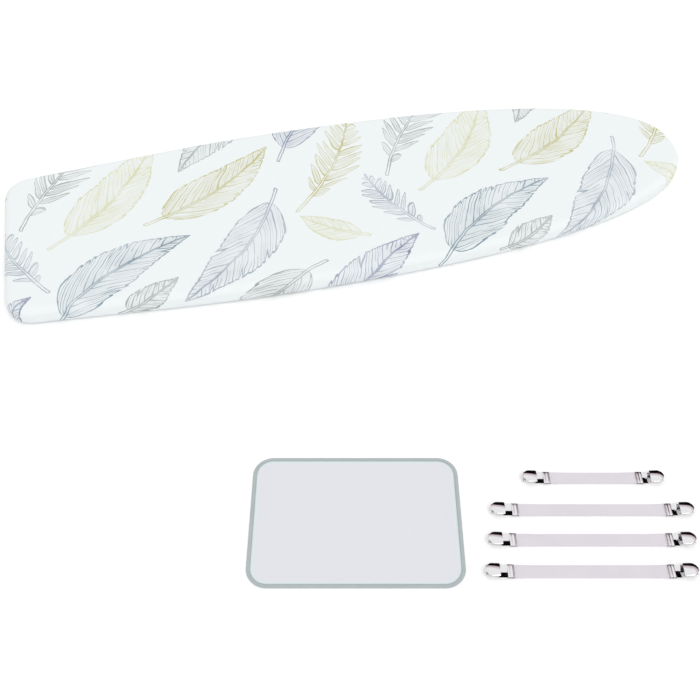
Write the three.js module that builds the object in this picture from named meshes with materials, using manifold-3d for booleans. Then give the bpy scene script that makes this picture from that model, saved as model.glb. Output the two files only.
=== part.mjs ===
// Ironing board cover kit: a fitted cotton cover with its felt pad and elastic hem, a pressing
// cloth, and four elastic straps with a lever clip at each end.
// Millimetres, +Z up. +X runs from the square tail to the rounded nose, +Y to the far long side.
// The origin is the middle of the pad's underside, the face that lies on the board's deck.
import * as THREE from "three";
import { mergeVertices } from "three/addons/utils/BufferGeometryUtils.js";
import Module from "manifold-3d";

const wasm = await Module();
wasm.setup();

// Clearances
const gap = 0.3; // between neighbouring pieces
const cutOverrun = 1; // how far a cutting shape runs past what it cuts
const weldDistance = 1e-4; // vertices nearer than this are one

// Outline of the cover
const coverLength = 1215;
const tailWidth = 334;
const shoulderWidth = 398;
const shoulderShare = 0.422; // of the length, from the tail to the widest place
const sidePower = 1.31; // how late the sides swell towards the shoulder
const nosePower = 2.4; // of the nose's superellipse: 2 is an ellipse, more is squarer
const noseSteps = 28;
const sideSteps = 9;
const cornerSteps = 8;

// Cover, pad and hem, as they sit on a board
const clothWall = 1.2;
const padThickness = 8;
const edgeRollWidth = 14; // the soft edge between the top and the skirt
const edgeRollHeight = 12;
const edgeRollSteps = 5;
const foldRadius = 8; // where the skirt turns under the deck
const foldSteps = 4;
const deckPocketDepth = 21; // from the pad down to the turned-under hem
const hemWidth = 36; // from the cover's outer edge in to the hem's cut edge
const hemCornerRadius = 8.6; // of the hem's inner edge at the tail
const hemTapeWall = 0.8;
const hemTapeLap = 7; // how far the tape reaches over the hem's cut edge
const elasticDiameter = 2;
const elasticSides = 6;

// Pressing cloth
const pressClothLength = 285;
const pressClothWidth = 197;
const pressClothCornerRadius = 28;
const pressClothThickness = 0.8;
const pressTapeWall = 0.5;
const pressTapeWidth = 5.6;
const pressCornerSteps = 6;

// Elastic straps
const longStrapLength = 275; // over both clips
const shortStrapLength = 196;
const bandWidth = 18;
const bandThickness = 1.2;

// Where the loose pieces lie: turned by this angle, at these places along and across the turned axes
const layoutAngle = THREE.MathUtils.degToRad(-13.3);
const pressClothPlace = [-4, -643.4];
const shortStrapPlace = [325.5, -578.1];
const firstLongStrapPlace = [315.6, -628.5];
const longStrapStep = [-7.85, -45.2]; // from each long strap to the next
const longStrapCount = 3;

// Heights that follow
const topZ = padThickness + gap + clothWall;
const hemTopZ = -deckPocketDepth;
const hemMiddleZ = hemTopZ - clothWall / 2;
const hemTapeHeight = elasticDiameter + 2 * gap + 2 * hemTapeWall;
const floorZ = hemMiddleZ - hemTapeHeight / 2;

// Insets from the cover's outer edge that follow
const elasticInset = hemWidth + gap + elasticDiameter / 2;
const hemTapeReach = elasticInset + elasticDiameter / 2 + gap + hemTapeWall;
const tailCornerRadius = hemCornerRadius + hemTapeReach;

// The side's half width at a share of the length between the tail and the shoulder.
function halfWidthAt(lengthShare) {
  const swell = Math.sin(((Math.PI / 2) * lengthShare) / shoulderShare) ** sidePower;
  return (tailWidth + (shoulderWidth - tailWidth) * swell) / 2;
}

// The cover's outer edge, counterclockwise from the near shoulder round the nose.
function coverOutline() {
  const tailX = -coverLength / 2;
  const shoulderX = tailX + shoulderShare * coverLength;
  const noseLength = coverLength / 2 - shoulderX;
  const points = [];
  for (let i = 0; i <= noseSteps; i++) {
    const turn = Math.PI * (i / noseSteps - 1 / 2);
    const along = Math.abs(Math.cos(turn)) ** (2 / nosePower);
    const across = Math.sign(turn) * Math.abs(Math.sin(turn)) ** (2 / nosePower);
    points.push(new THREE.Vector2(shoulderX + noseLength * along, (shoulderWidth / 2) * across));
  }
  const cornerShare = tailCornerRadius / coverLength;
  const farSide = [];
  for (let i = 1; i < sideSteps; i++) {
    const share = shoulderShare + ((cornerShare - shoulderShare) * i) / sideSteps;
    farSide.push(new THREE.Vector2(tailX + share * coverLength, halfWidthAt(share)));
  }
  const cornerX = tailX + tailCornerRadius;
  const cornerY = halfWidthAt(cornerShare) - tailCornerRadius;
  for (let i = 0; i <= cornerSteps; i++) {
    const turn = (Math.PI / 2) * (1 + i / cornerSteps);
    const x = cornerX + tailCornerRadius * Math.cos(turn);
    farSide.push(new THREE.Vector2(x, cornerY + tailCornerRadius * Math.sin(turn)));
  }
  const nearSide = farSide.map((point) => new THREE.Vector2(point.x, -point.y)).reverse();
  return [...points, ...farSide, ...nearSide];
}

// A rectangle with round corners about the origin, counterclockwise.
function roundedRectangle(length, width, radius, steps) {
  const points = [];
  for (let corner = 0; corner < 4; corner++) {
    const signX = corner === 0 || corner === 3 ? 1 : -1;
    const signY = corner < 2 ? 1 : -1;
    for (let i = 0; i <= steps; i++) {
      const turn = (Math.PI / 2) * (corner + i / steps);
      const x = signX * (length / 2 - radius) + radius * Math.cos(turn);
      points.push(new THREE.Vector2(x, signY * (width / 2 - radius) + radius * Math.sin(turn)));
    }
  }
  return points;
}

// The outline moved inwards, with mitred corners.
function insetOutline(outline, inset) {
  return outline.map((point, i) => {
    const before = outline.at(i - 1);
    const after = outline[(i + 1) % outline.length];
    const arriving = point.clone().sub(before).normalize();
    const leaving = after.clone().sub(point).normalize();
    const mitre = inset / (1 + arriving.dot(leaving));
    const inward = new THREE.Vector2(-arriving.y - leaving.y, arriving.x + leaving.x);
    return point.clone().addScaledVector(inward, mitre);
  });
}

// A closed surface from a profile of [inset, height] points carried round an outline. An open
// profile starts at a flat face that looks down and ends at one that looks up. A closed profile
// makes a ring. On the outer side of the wall the profile climbs.
function sweptGeometry(outline, profile, closedProfile) {
  const count = outline.length;
  const positions = [];
  for (const [inset, z] of profile)
    for (const point of insetOutline(outline, inset)) positions.push(point.x, point.y, z);
  const index = [];
  const bands = closedProfile ? profile.length : profile.length - 1;
  for (let band = 0; band < bands; band++) {
    const low = band * count;
    const high = ((band + 1) % profile.length) * count;
    for (let i = 0; i < count; i++) {
      const next = (i + 1) % count;
      index.push(low + i, low + next, high + next);
      index.push(low + i, high + next, high + i);
    }
  }
  if (!closedProfile) {
    const start = insetOutline(outline, profile[0][0]);
    for (const [a, b, c] of THREE.ShapeUtils.triangulateShape(start, [])) index.push(a, c, b);
    const lastRing = (profile.length - 1) * count;
    const end = insetOutline(outline, profile.at(-1)[0]);
    for (const [a, b, c] of THREE.ShapeUtils.triangulateShape(end, []))
      index.push(lastRing + a, lastRing + b, lastRing + c);
  }
  const geometry = new THREE.BufferGeometry();
  geometry.setAttribute("position", new THREE.Float32BufferAttribute(positions, 3));
  geometry.setIndex(index);
  geometry.computeVertexNormals();
  return geometry;
}

// Profile points on an elliptical arc, its angles in quarter turns.
function profileArc(centreInset, centreZ, radiusInset, radiusZ, fromQuarter, toQuarter, steps) {
  const points = [];
  for (let i = 0; i <= steps; i++) {
    const turn = (Math.PI / 2) * (fromQuarter + ((toQuarter - fromQuarter) * i) / steps);
    points.push([centreInset + radiusInset * Math.cos(turn), centreZ + radiusZ * Math.sin(turn)]);
  }
  return points;
}

// Closed profile of a tape folded round an edge: its spine at one inset, its two legs' tips at
// another.
function foldedTapeProfile(spineInset, tipInset, middleZ, height, wall) {
  const low = middleZ - height / 2;
  const high = middleZ + height / 2;
  const innerInset = spineInset + Math.sign(tipInset - spineInset) * wall;
  const profile = [
    [tipInset, low],
    [tipInset, low + wall],
    [innerInset, low + wall],
    [innerInset, high - wall],
    [tipInset, high - wall],
    [tipInset, high],
    [spineInset, high],
    [spineInset, low],
  ];
  return tipInset < spineInset ? profile : profile.reverse();
}

// A closed geometry as a solid that can be cut and joined.
function toSolid(geometry) {
  const bare = geometry.clone();
  bare.deleteAttribute("normal");
  bare.deleteAttribute("uv");
  const welded = mergeVertices(bare, weldDistance);
  const vertProperties = welded.getAttribute("position").array;
  const triVerts = new Uint32Array(welded.index.array);
  return new wasm.Manifold(new wasm.Mesh({ numProp: 3, vertProperties, triVerts }));
}

function toGeometry(solid) {
  const mesh = solid.getMesh();
  const geometry = new THREE.BufferGeometry();
  geometry.setAttribute("position", new THREE.BufferAttribute(mesh.vertProperties, mesh.numProp));
  geometry.setIndex(new THREE.BufferAttribute(mesh.triVerts, 1));
  geometry.computeVertexNormals();
  return geometry;
}

// A box between two corners, each given as [x, y, z].
function boxSolid(low, high) {
  const size = low.map((value, axis) => high[axis] - value);
  const geometry = new THREE.BoxGeometry(...size);
  geometry.translate(...low.map((value, axis) => value + size[axis] / 2));
  return toSolid(geometry);
}

// A plate of an outline in X and Y between two heights.
function plateSolid(points, lowZ, highZ) {
  const shape = new THREE.Shape(points);
  const geometry = new THREE.ExtrudeGeometry(shape, { depth: highZ - lowZ, bevelEnabled: false });
  geometry.translate(0, 0, lowZ);
  return toSolid(geometry);
}

// A plate of an outline in X and Z between two places along Y.
function uprightSolid(points, lowY, highY) {
  const shape = new THREE.Shape(points);
  const geometry = new THREE.ExtrudeGeometry(shape, { depth: highY - lowY, bevelEnabled: false });
  geometry.rotateX(Math.PI / 2);
  geometry.translate(0, highY, 0);
  return toSolid(geometry);
}

// A bar of an outline in Y and Z between two places along X.
function lengthwiseSolid(points, lowX, highX) {
  const shape = new THREE.Shape(points);
  const geometry = new THREE.ExtrudeGeometry(shape, { depth: highX - lowX, bevelEnabled: false });
  geometry.rotateX(Math.PI / 2);
  geometry.rotateZ(Math.PI / 2);
  geometry.translate(lowX, 0, 0);
  return toSolid(geometry);
}

// A round bar along Y.
function barSolid(x, z, radius, lowY, highY, sides) {
  const geometry = new THREE.CylinderGeometry(radius, radius, highY - lowY, sides);
  geometry.translate(x, (lowY + highY) / 2, z);
  return toSolid(geometry);
}

const printedCotton = new THREE.MeshStandardMaterial({ color: 0xeef2f3, roughness: 0.9 });
const needledFelt = new THREE.MeshStandardMaterial({ color: 0xe6e2d8, roughness: 1 });
const cottonTape = new THREE.MeshStandardMaterial({ color: 0xe9ecec, roughness: 0.9 });
const elasticCord = new THREE.MeshStandardMaterial({ color: 0xf2f2f0, roughness: 0.8 });
const nettedCloth = new THREE.MeshStandardMaterial({ color: 0xe5e6eb, roughness: 0.9 });
const greenGreyTape = new THREE.MeshStandardMaterial({ color: 0xacbdbd, roughness: 0.9 });
const elasticWebbing = new THREE.MeshStandardMaterial({ color: 0xe2dee3, roughness: 0.8 });
const platedSteel = new THREE.MeshStandardMaterial({
  color: 0xd4d4d8,
  roughness: 0.15,
  metalness: 1,
});
const gripPlastic = new THREE.MeshStandardMaterial({ color: 0xf0f0ee, roughness: 0.5 });

const kit = new THREE.Group();

function addPiece(parent, name, geometry, material) {
  const mesh = new THREE.Mesh(geometry, material);
  mesh.name = name;
  parent.add(mesh);
}

// Cover: the top, its rolled edge, the skirt, and the hem turned under the deck
const outline = coverOutline();
const edgeRollZ = topZ - edgeRollHeight;
const foldZ = hemTopZ - clothWall + foldRadius;

function coverProfile() {
  const innerFold = foldRadius - clothWall;
  const innerRollWidth = edgeRollWidth - clothWall;
  const innerRollHeight = edgeRollHeight - clothWall;
  return [
    ...profileArc(edgeRollWidth, edgeRollZ, innerRollWidth, innerRollHeight, 1, 2, edgeRollSteps),
    ...profileArc(foldRadius, foldZ, innerFold, innerFold, 2, 3, foldSteps),
    [hemWidth, hemTopZ],
    [hemWidth, hemTopZ - clothWall],
    ...profileArc(foldRadius, foldZ, foldRadius, foldRadius, 3, 2, foldSteps),
    ...profileArc(edgeRollWidth, edgeRollZ, edgeRollWidth, edgeRollHeight, 2, 1, edgeRollSteps),
  ];
}
addPiece(kit, "cover_sheet", sweptGeometry(outline, coverProfile(), false), printedCotton);

// Felt pad: lies under the cover's top, and its edge follows the cover's roll from inside
function padProfile() {
  const rollWidth = edgeRollWidth - clothWall - gap;
  const rollHeight = edgeRollHeight - clothWall - gap;
  const undersideQuarter = 2 + Math.asin(edgeRollZ / rollHeight) / (Math.PI / 2);
  return profileArc(
    edgeRollWidth,
    edgeRollZ,
    rollWidth,
    rollHeight,
    undersideQuarter,
    1,
    edgeRollSteps,
  );
}
addPiece(kit, "felt_pad", sweptGeometry(outline, padProfile(), false), needledFelt);

// Hem: tape folded round the cut edge, with the elastic inside the fold
const hemTapeProfile = foldedTapeProfile(
  hemTapeReach,
  hemWidth - hemTapeLap,
  hemMiddleZ,
  hemTapeHeight,
  hemTapeWall,
);
addPiece(kit, "hem_binding", sweptGeometry(outline, hemTapeProfile, true), cottonTape);

function elasticProfile() {
  const radius = elasticDiameter / 2;
  const points = profileArc(elasticInset, hemMiddleZ, radius, radius, 4, 0, elasticSides);
  return points.slice(1);
}
addPiece(kit, "hem_elastic", sweptGeometry(outline, elasticProfile(), true), elasticCord);

// A group whose own floor is the floor, turned and placed as the loose pieces lie.
function looseGroup([along, across]) {
  const turned = new THREE.Vector2(along, across).rotateAround(new THREE.Vector2(), layoutAngle);
  const group = new THREE.Group();
  group.position.set(turned.x, turned.y, floorZ);
  group.rotation.z = layoutAngle;
  kit.add(group);
  return group;
}

// Pressing cloth: a netted panel with round corners, bound with tape
function addPressCloth() {
  const group = looseGroup(pressClothPlace);
  const edge = roundedRectangle(
    pressClothLength,
    pressClothWidth,
    pressClothCornerRadius,
    pressCornerSteps,
  );
  const tapeHeight = pressClothThickness + 2 * gap + 2 * pressTapeWall;
  const tape = foldedTapeProfile(0, pressTapeWidth, tapeHeight / 2, tapeHeight, pressTapeWall);
  const panelInset = pressTapeWall + gap;
  const panel = [
    [panelInset, (tapeHeight - pressClothThickness) / 2],
    [panelInset, (tapeHeight + pressClothThickness) / 2],
  ];
  addPiece(group, "press_cloth", sweptGeometry(edge, panel, false), nettedCloth);
  addPiece(group, "press_cloth_binding", sweptGeometry(edge, tape, true), greenGreyTape);
}
addPressCloth();

// Clip: a stamped base with a crimped sleeve for the band, and a lever that turns on a pin and
// presses the cloth on a plastic grip. X = 0 is the sleeve's mouth, and X grows to the jaws.
const clipLength = 38;
const clipWall = 0.8;
const bandTuck = 7.3; // how far the band goes into the sleeve
const crimpWidth = 1.2;
const crimpDepth = 0.4;
const crimpPlaceShares = [0.14, 0.6]; // of the sleeve's length
const neckWidth = 18; // of the dished plate between the sleeve and the lever
const neckFloorWidth = 2; // its flat middle
const neckEndX = 21; // under the lever
const neckLap = 2; // how far the tray reaches back under the neck's end
const channelWidth = 11.8; // of the tray
const channelWallHeight = 2.6; // also of the neck's raised edges
const trayNoseLength = 2.5;
const trayNoseSteps = 4;
const pinX = 34.4;
const pinRadius = 0.8;
const pinHeadRadius = 1.4;
const pinHeadThickness = 0.5;
const pinSides = 12;
const earRadius = 2.1;
const earBackReach = 4.2; // from the pin back to where the ear meets the channel's wall
const earSteps = 6;
const gripLength = 5;
const gripFrontGap = 2; // from the tray's tip back to the grip
const gripThickness = 0.6;
const jawGap = 0.6; // between the closed cam and the grip, for the cloth
const leverBackX = 18.5; // free end, which a finger lifts
const leverNoseX = 29.4; // where the plate starts to narrow
const leverNosePower = 1.6; // of the nose's superellipse: less than 2 is more pointed
const leverTipX = 37.4;
const leverTipShare = 0.96; // of the nose's half length, where the tip is cut off
const leverWidth = 18;
const leverCrown = 1.65; // rise across the width
const leverBackFall = 0.8; // how much lower the free end is
const leverTipFall = 0.6;
const leverFallX = 31; // the plate's highest place
const leverFallPower = 2;
const leverBodySteps = 3;
const leverNoseSteps = 4;
const leverAcrossSteps = 4;
const cheekRadius = 1.9;
const cheekBackReach = 2.2;
const cheekFrontReach = 1;
const camReach = 2.5; // from the pin's axis down to the cam's face
const camBack = 1;
const camFront = 0.9;
const leverEarClearance = 0.58; // from the ears up to the plate at their outer faces

const sleeveCavityLength = bandTuck + gap;
const sleeveCavityWidth = bandWidth + 2 * gap;
const sleeveCavityHeight = bandThickness + 2 * gap;
const sleeveLength = sleeveCavityLength + clipWall;
const sleeveWidth = sleeveCavityWidth + 2 * clipWall;
const sleeveHeight = sleeveCavityHeight + 2 * clipWall;
const neckStartX = sleeveLength - clipWall; // inside the sleeve's back wall
const neckHalf = neckWidth / 2;
const neckFloorHalf = neckFloorWidth / 2;
const trayBackX = neckEndX - neckLap;
const pinHoleRadius = pinRadius + gap;
const pinZ = clipWall + gap + gripThickness + jawGap + camReach;
const channelHalf = channelWidth / 2;
const channelInnerHalf = channelHalf - clipWall;
const cheekHalf = channelInnerHalf - gap;
const leverTopZ = pinZ + earRadius + leverEarClearance + clipWall + crownFall(channelHalf);
const cheekTopZ = leverTopZ - crownFall(cheekHalf) - clipWall / 2; // inside the plate

// Section across the neck: a plate dished from its raised edges down to a narrow flat middle.
function neckProfile() {
  const edgeLowZ = channelWallHeight - clipWall;
  const points = [
    [-neckHalf, channelWallHeight],
    [-neckHalf, edgeLowZ],
    [-neckFloorHalf, 0],
    [neckFloorHalf, 0],
    [neckHalf, edgeLowZ],
    [neckHalf, channelWallHeight],
    [neckFloorHalf, clipWall],
    [-neckFloorHalf, clipWall],
  ];
  return points.map(([y, z]) => new THREE.Vector2(y, z));
}

// Plan of the tray from under the neck's end to the rounded tip.
function trayPlan(half) {
  const noseX = clipLength - trayNoseLength;
  const points = [];
  for (let i = 0; i <= trayNoseSteps; i++) {
    const turn = Math.PI * (i / trayNoseSteps - 1 / 2);
    const x = noseX + trayNoseLength * Math.cos(turn);
    points.push(new THREE.Vector2(x, half * Math.sin(turn)));
  }
  points.push(new THREE.Vector2(trayBackX, half), new THREE.Vector2(trayBackX, -half));
  return points;
}

// Side view of an ear: up from the wall's top, round the pin, and down to the tray's front.
function earProfile() {
  const points = [
    new THREE.Vector2(pinX - earBackReach, 0),
    new THREE.Vector2(clipLength - trayNoseLength, 0),
  ];
  for (let i = 0; i <= earSteps; i++) {
    const turn = (Math.PI * 3 * i) / (4 * earSteps);
    const x = pinX + earRadius * Math.cos(turn);
    points.push(new THREE.Vector2(x, pinZ + earRadius * Math.sin(turn)));
  }
  points.push(new THREE.Vector2(pinX - earBackReach, channelWallHeight));
  return points;
}

function clipBase() {
  const sleeveHalf = sleeveWidth / 2;
  const cavityHalf = sleeveCavityWidth / 2;
  const wallsEndX = pinX - earBackReach + cutOverrun;
  let base = boxSolid([0, -sleeveHalf, 0], [sleeveLength, sleeveHalf, sleeveHeight]);
  base = base.subtract(
    boxSolid(
      [-cutOverrun, -cavityHalf, clipWall],
      [sleeveCavityLength, cavityHalf, sleeveHeight - clipWall],
    ),
  );
  for (const share of crimpPlaceShares) {
    const middle = share * sleeveLength;
    base = base.subtract(
      boxSolid(
        [middle - crimpWidth / 2, -sleeveHalf - cutOverrun, sleeveHeight - crimpDepth],
        [middle + crimpWidth / 2, sleeveHalf + cutOverrun, sleeveHeight + cutOverrun],
      ),
    );
  }
  base = base.add(lengthwiseSolid(neckProfile(), neckStartX, neckEndX));
  base = base.add(plateSolid(trayPlan(channelHalf), 0, clipWall));
  for (const side of [-1, 1]) {
    const yInner = side * channelInnerHalf;
    const yOuter = side * channelHalf;
    const low = Math.min(yInner, yOuter);
    const high = Math.max(yInner, yOuter);
    base = base.add(boxSolid([trayBackX, low, 0], [wallsEndX, high, channelWallHeight]));
    base = base.add(uprightSolid(earProfile(), low, high));
  }
  const holeEnd = channelHalf + cutOverrun;
  return base.subtract(barSolid(pinX, pinZ, pinHoleRadius, -holeEnd, holeEnd, pinSides));
}

// How much lower the lever plate is at a distance from its middle line.
function crownFall(y) {
  return leverCrown * (y / (leverWidth / 2)) ** 2;
}

// Height of the lever plate's top along its middle.
function leverSpineZ(x) {
  if (x > leverFallX)
    return leverTopZ - leverTipFall * ((x - leverFallX) / (leverTipX - leverFallX)) ** 2;
  const back = (leverFallX - x) / (leverFallX - leverBackX);
  return leverTopZ - leverBackFall * back ** leverFallPower;
}

// Stations along the lever plate, each [x, half width].
function leverStations() {
  const stations = [];
  for (let i = 0; i < leverBodySteps; i++) {
    const x = leverBackX + ((leverNoseX - leverBackX) * i) / leverBodySteps;
    stations.push([x, leverWidth / 2]);
  }
  const noseHalfLength = (leverTipX - leverNoseX) / leverTipShare;
  const lastTurn = Math.asin(leverTipShare ** (leverNosePower / 2));
  for (let i = 0; i <= leverNoseSteps; i++) {
    const turn = (lastTurn * i) / leverNoseSteps;
    const x = leverNoseX + noseHalfLength * Math.sin(turn) ** (2 / leverNosePower);
    stations.push([x, (leverWidth / 2) * Math.cos(turn) ** (2 / leverNosePower)]);
  }
  return stations;
}

// The lever's plate: a crowned sheet, bullet-shaped in plan, that falls to its free end.
function leverPlate() {
  const stations = leverStations();
  const columns = leverAcrossSteps + 1;
  const bottomStart = stations.length * columns;
  const top = [];
  for (const [x, half] of stations)
    for (let column = 0; column < columns; column++) {
      const y = half * ((2 * column) / leverAcrossSteps - 1);
      top.push([x, y, leverSpineZ(x) - crownFall(y)]);
    }
  const bottom = top.map(([x, y, z]) => [x, y, z - clipWall]);
  const index = [];
  const addQuad = (a, b, c, d) => index.push(a, b, c, a, c, d);
  for (let row = 0; row < stations.length - 1; row++)
    for (let column = 0; column < leverAcrossSteps; column++) {
      const near = row * columns + column;
      const far = near + columns;
      addQuad(near, far, far + 1, near + 1);
      addQuad(bottomStart + near, bottomStart + near + 1, bottomStart + far + 1, bottomStart + far);
    }
  const lastRow = bottomStart - columns;
  for (let column = 0; column < leverAcrossSteps; column++) {
    addQuad(column, column + 1, bottomStart + column + 1, bottomStart + column);
    const tip = lastRow + column;
    addQuad(tip + 1, tip, bottomStart + tip, bottomStart + tip + 1);
  }
  for (let row = 0; row < stations.length - 1; row++) {
    const nearSide = row * columns;
    const farSide = nearSide + leverAcrossSteps;
    addQuad(nearSide + columns, nearSide, bottomStart + nearSide, bottomStart + nearSide + columns);
    addQuad(farSide, farSide + columns, bottomStart + farSide + columns, bottomStart + farSide);
  }
  const geometry = new THREE.BufferGeometry();
  geometry.setAttribute("position", new THREE.Float32BufferAttribute([...top, ...bottom].flat(), 3));
  geometry.setIndex(index);
  return toSolid(geometry);
}

function clipLever() {
  let lever = leverPlate();
  for (const side of [-1, 1]) {
    const yInner = side * (cheekHalf - clipWall);
    const yOuter = side * cheekHalf;
    const low = Math.min(yInner, yOuter);
    const high = Math.max(yInner, yOuter);
    const backX = pinX - cheekBackReach;
    lever = lever.add(boxSolid([backX, low, pinZ], [pinX + cheekFrontReach, high, cheekTopZ]));
    lever = lever.add(barSolid(pinX, pinZ, cheekRadius, low, high, pinSides));
  }
  lever = lever.add(
    boxSolid(
      [pinX - camBack, -cheekHalf, pinZ - camReach],
      [pinX + camFront, cheekHalf, pinZ - pinHoleRadius - gap],
    ),
  );
  const holeEnd = cheekHalf + gap;
  return lever.subtract(barSolid(pinX, pinZ, pinHoleRadius, -holeEnd, holeEnd, pinSides));
}

// The pin, with a head at each end, turned about its own axis along Y.
function clipPin() {
  const headInner = channelHalf + gap;
  const headOuter = headInner + pinHeadThickness;
  const profile = [
    [0, -headOuter],
    [pinHeadRadius, -headOuter],
    [pinHeadRadius, -headInner],
    [pinRadius, -headInner],
    [pinRadius, headInner],
    [pinHeadRadius, headInner],
    [pinHeadRadius, headOuter],
    [0, headOuter],
  ];
  const points = profile.map(([radius, y]) => new THREE.Vector2(radius, y));
  const geometry = new THREE.LatheGeometry(points, pinSides);
  geometry.translate(pinX, 0, pinZ);
  return toSolid(geometry);
}

function clipGrip() {
  const frontX = clipLength - gripFrontGap;
  const half = channelInnerHalf - gap;
  const lowZ = clipWall + gap;
  return boxSolid([frontX - gripLength, -half, lowZ], [frontX, half, lowZ + gripThickness]);
}

const baseGeometry = toGeometry(clipBase());
const leverGeometry = toGeometry(clipLever());
const pinGeometry = toGeometry(clipPin());
const gripGeometry = toGeometry(clipGrip());

// A strap: one band of elastic with a clip at each end, the jaws pointing outwards
function addStrap(name, length, place) {
  const group = looseGroup(place);
  const sleeveMouth = length / 2 - clipLength;
  const bandHalf = sleeveMouth + bandTuck;
  const bandLow = (sleeveHeight - bandThickness) / 2;
  const band = boxSolid(
    [-bandHalf, -bandWidth / 2, bandLow],
    [bandHalf, bandWidth / 2, bandLow + bandThickness],
  );
  addPiece(group, name + "_band", toGeometry(band), elasticWebbing);
  for (const [side, sign] of [
    ["left", -1],
    ["right", 1],
  ]) {
    const clip = new THREE.Group();
    clip.position.x = sign * sleeveMouth;
    clip.rotation.z = sign < 0 ? Math.PI : 0;
    group.add(clip);
    const clipName = name + "_" + side;
    addPiece(clip, clipName + "_base", baseGeometry, platedSteel);
    addPiece(clip, clipName + "_grip", gripGeometry, gripPlastic);
    addPiece(clip, clipName + "_pin", pinGeometry, platedSteel);
    addPiece(clip, clipName + "_lever", leverGeometry, platedSteel);
  }
}

addStrap("short_strap", shortStrapLength, shortStrapPlace);
for (let i = 0; i < longStrapCount; i++) {
  const place = firstLongStrapPlace.map((value, axis) => value + longStrapStep[axis] * i);
  addStrap("long_strap_" + (i + 1), longStrapLength, place);
}

export default kit;
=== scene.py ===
import math

import bpy
import numpy as np
from mathutils import Matrix, Vector, noise


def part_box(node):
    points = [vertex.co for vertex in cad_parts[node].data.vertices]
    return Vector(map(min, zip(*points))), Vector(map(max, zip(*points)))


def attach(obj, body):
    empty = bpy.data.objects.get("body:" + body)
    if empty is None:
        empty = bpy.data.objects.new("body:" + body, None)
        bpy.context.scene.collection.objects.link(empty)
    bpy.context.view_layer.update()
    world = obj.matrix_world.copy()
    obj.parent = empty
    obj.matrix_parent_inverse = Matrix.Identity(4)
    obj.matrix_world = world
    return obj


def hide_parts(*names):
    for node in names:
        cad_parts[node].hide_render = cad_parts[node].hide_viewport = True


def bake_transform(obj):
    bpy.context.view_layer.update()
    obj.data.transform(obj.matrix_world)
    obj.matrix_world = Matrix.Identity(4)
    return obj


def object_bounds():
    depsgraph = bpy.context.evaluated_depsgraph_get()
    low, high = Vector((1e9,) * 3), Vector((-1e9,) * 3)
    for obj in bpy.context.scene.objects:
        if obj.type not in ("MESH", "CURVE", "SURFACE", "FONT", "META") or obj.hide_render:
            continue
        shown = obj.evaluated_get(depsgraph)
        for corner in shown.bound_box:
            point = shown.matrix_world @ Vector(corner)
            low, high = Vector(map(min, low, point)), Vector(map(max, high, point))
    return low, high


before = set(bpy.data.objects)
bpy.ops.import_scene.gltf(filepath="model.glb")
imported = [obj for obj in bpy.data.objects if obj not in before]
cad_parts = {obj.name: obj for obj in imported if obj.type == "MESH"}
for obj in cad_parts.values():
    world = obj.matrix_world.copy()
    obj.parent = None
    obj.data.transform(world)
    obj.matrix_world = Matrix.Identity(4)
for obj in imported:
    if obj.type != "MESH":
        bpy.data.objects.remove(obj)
cad_low, cad_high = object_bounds()


# Camera: it stands before the near long side, a little to the left, and looks down on the whole
# kit. Its lens covers the square frame of the photograph.
camera_place = Vector((-0.3009, -1.2227, 1.0697))
camera_aim = Vector((-0.097, -0.360, 0.0095))
bpy.ops.object.camera_add(location=camera_place)
camera = bpy.context.object
camera.rotation_euler = (camera_aim - camera_place).to_track_quat("-Z", "Y").to_euler()
camera.data.lens = 47.16
bpy.context.scene.camera = camera
bpy.context.scene.view_settings.view_transform = "Standard"


# Light: a pale tent of even light and one broad lamp up in front on the right, so that flat cloth
# keeps its own colour, the tail and the far edge turn darker, and the pieces throw a soft shadow.
tent_strength = 0.85
lamp_strength = 0.6
world = bpy.data.worlds.new("light tent")
bpy.context.scene.world = world
world.use_nodes = True
tent = world.node_tree
tent_light = tent.nodes["Background"]
tent_light.inputs["Color"].default_value = (1.0, 1.0, 1.0, 1.0)
tent_light.inputs["Strength"].default_value = tent_strength
seen_tent = tent.nodes.new("ShaderNodeBackground")
seen_tent.inputs["Color"].default_value = (1.0, 1.0, 1.0, 1.0)
tent_path = tent.nodes.new("ShaderNodeLightPath")
seen_or_mirrored = tent.nodes.new("ShaderNodeMath")
seen_or_mirrored.operation = "MAXIMUM"
tent.links.new(tent_path.outputs["Is Camera Ray"], seen_or_mirrored.inputs[0])
tent.links.new(tent_path.outputs["Is Glossy Ray"], seen_or_mirrored.inputs[1])
tent_mix = tent.nodes.new("ShaderNodeMixShader")
tent.links.new(seen_or_mirrored.outputs[0], tent_mix.inputs[0])
tent.links.new(tent_light.outputs[0], tent_mix.inputs[1])
tent.links.new(seen_tent.outputs[0], tent_mix.inputs[2])
tent.links.new(tent_mix.outputs[0], tent.nodes["World Output"].inputs["Surface"])
lamp_place = Vector((1.05, -1.83, 3.0))
bpy.ops.object.light_add(type="SUN", location=lamp_place)
lamp = bpy.context.object
lamp.rotation_euler = (-lamp_place).to_track_quat("-Z", "Y").to_euler()
lamp.data.energy = lamp_strength
lamp.data.angle = math.radians(35)


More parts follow.
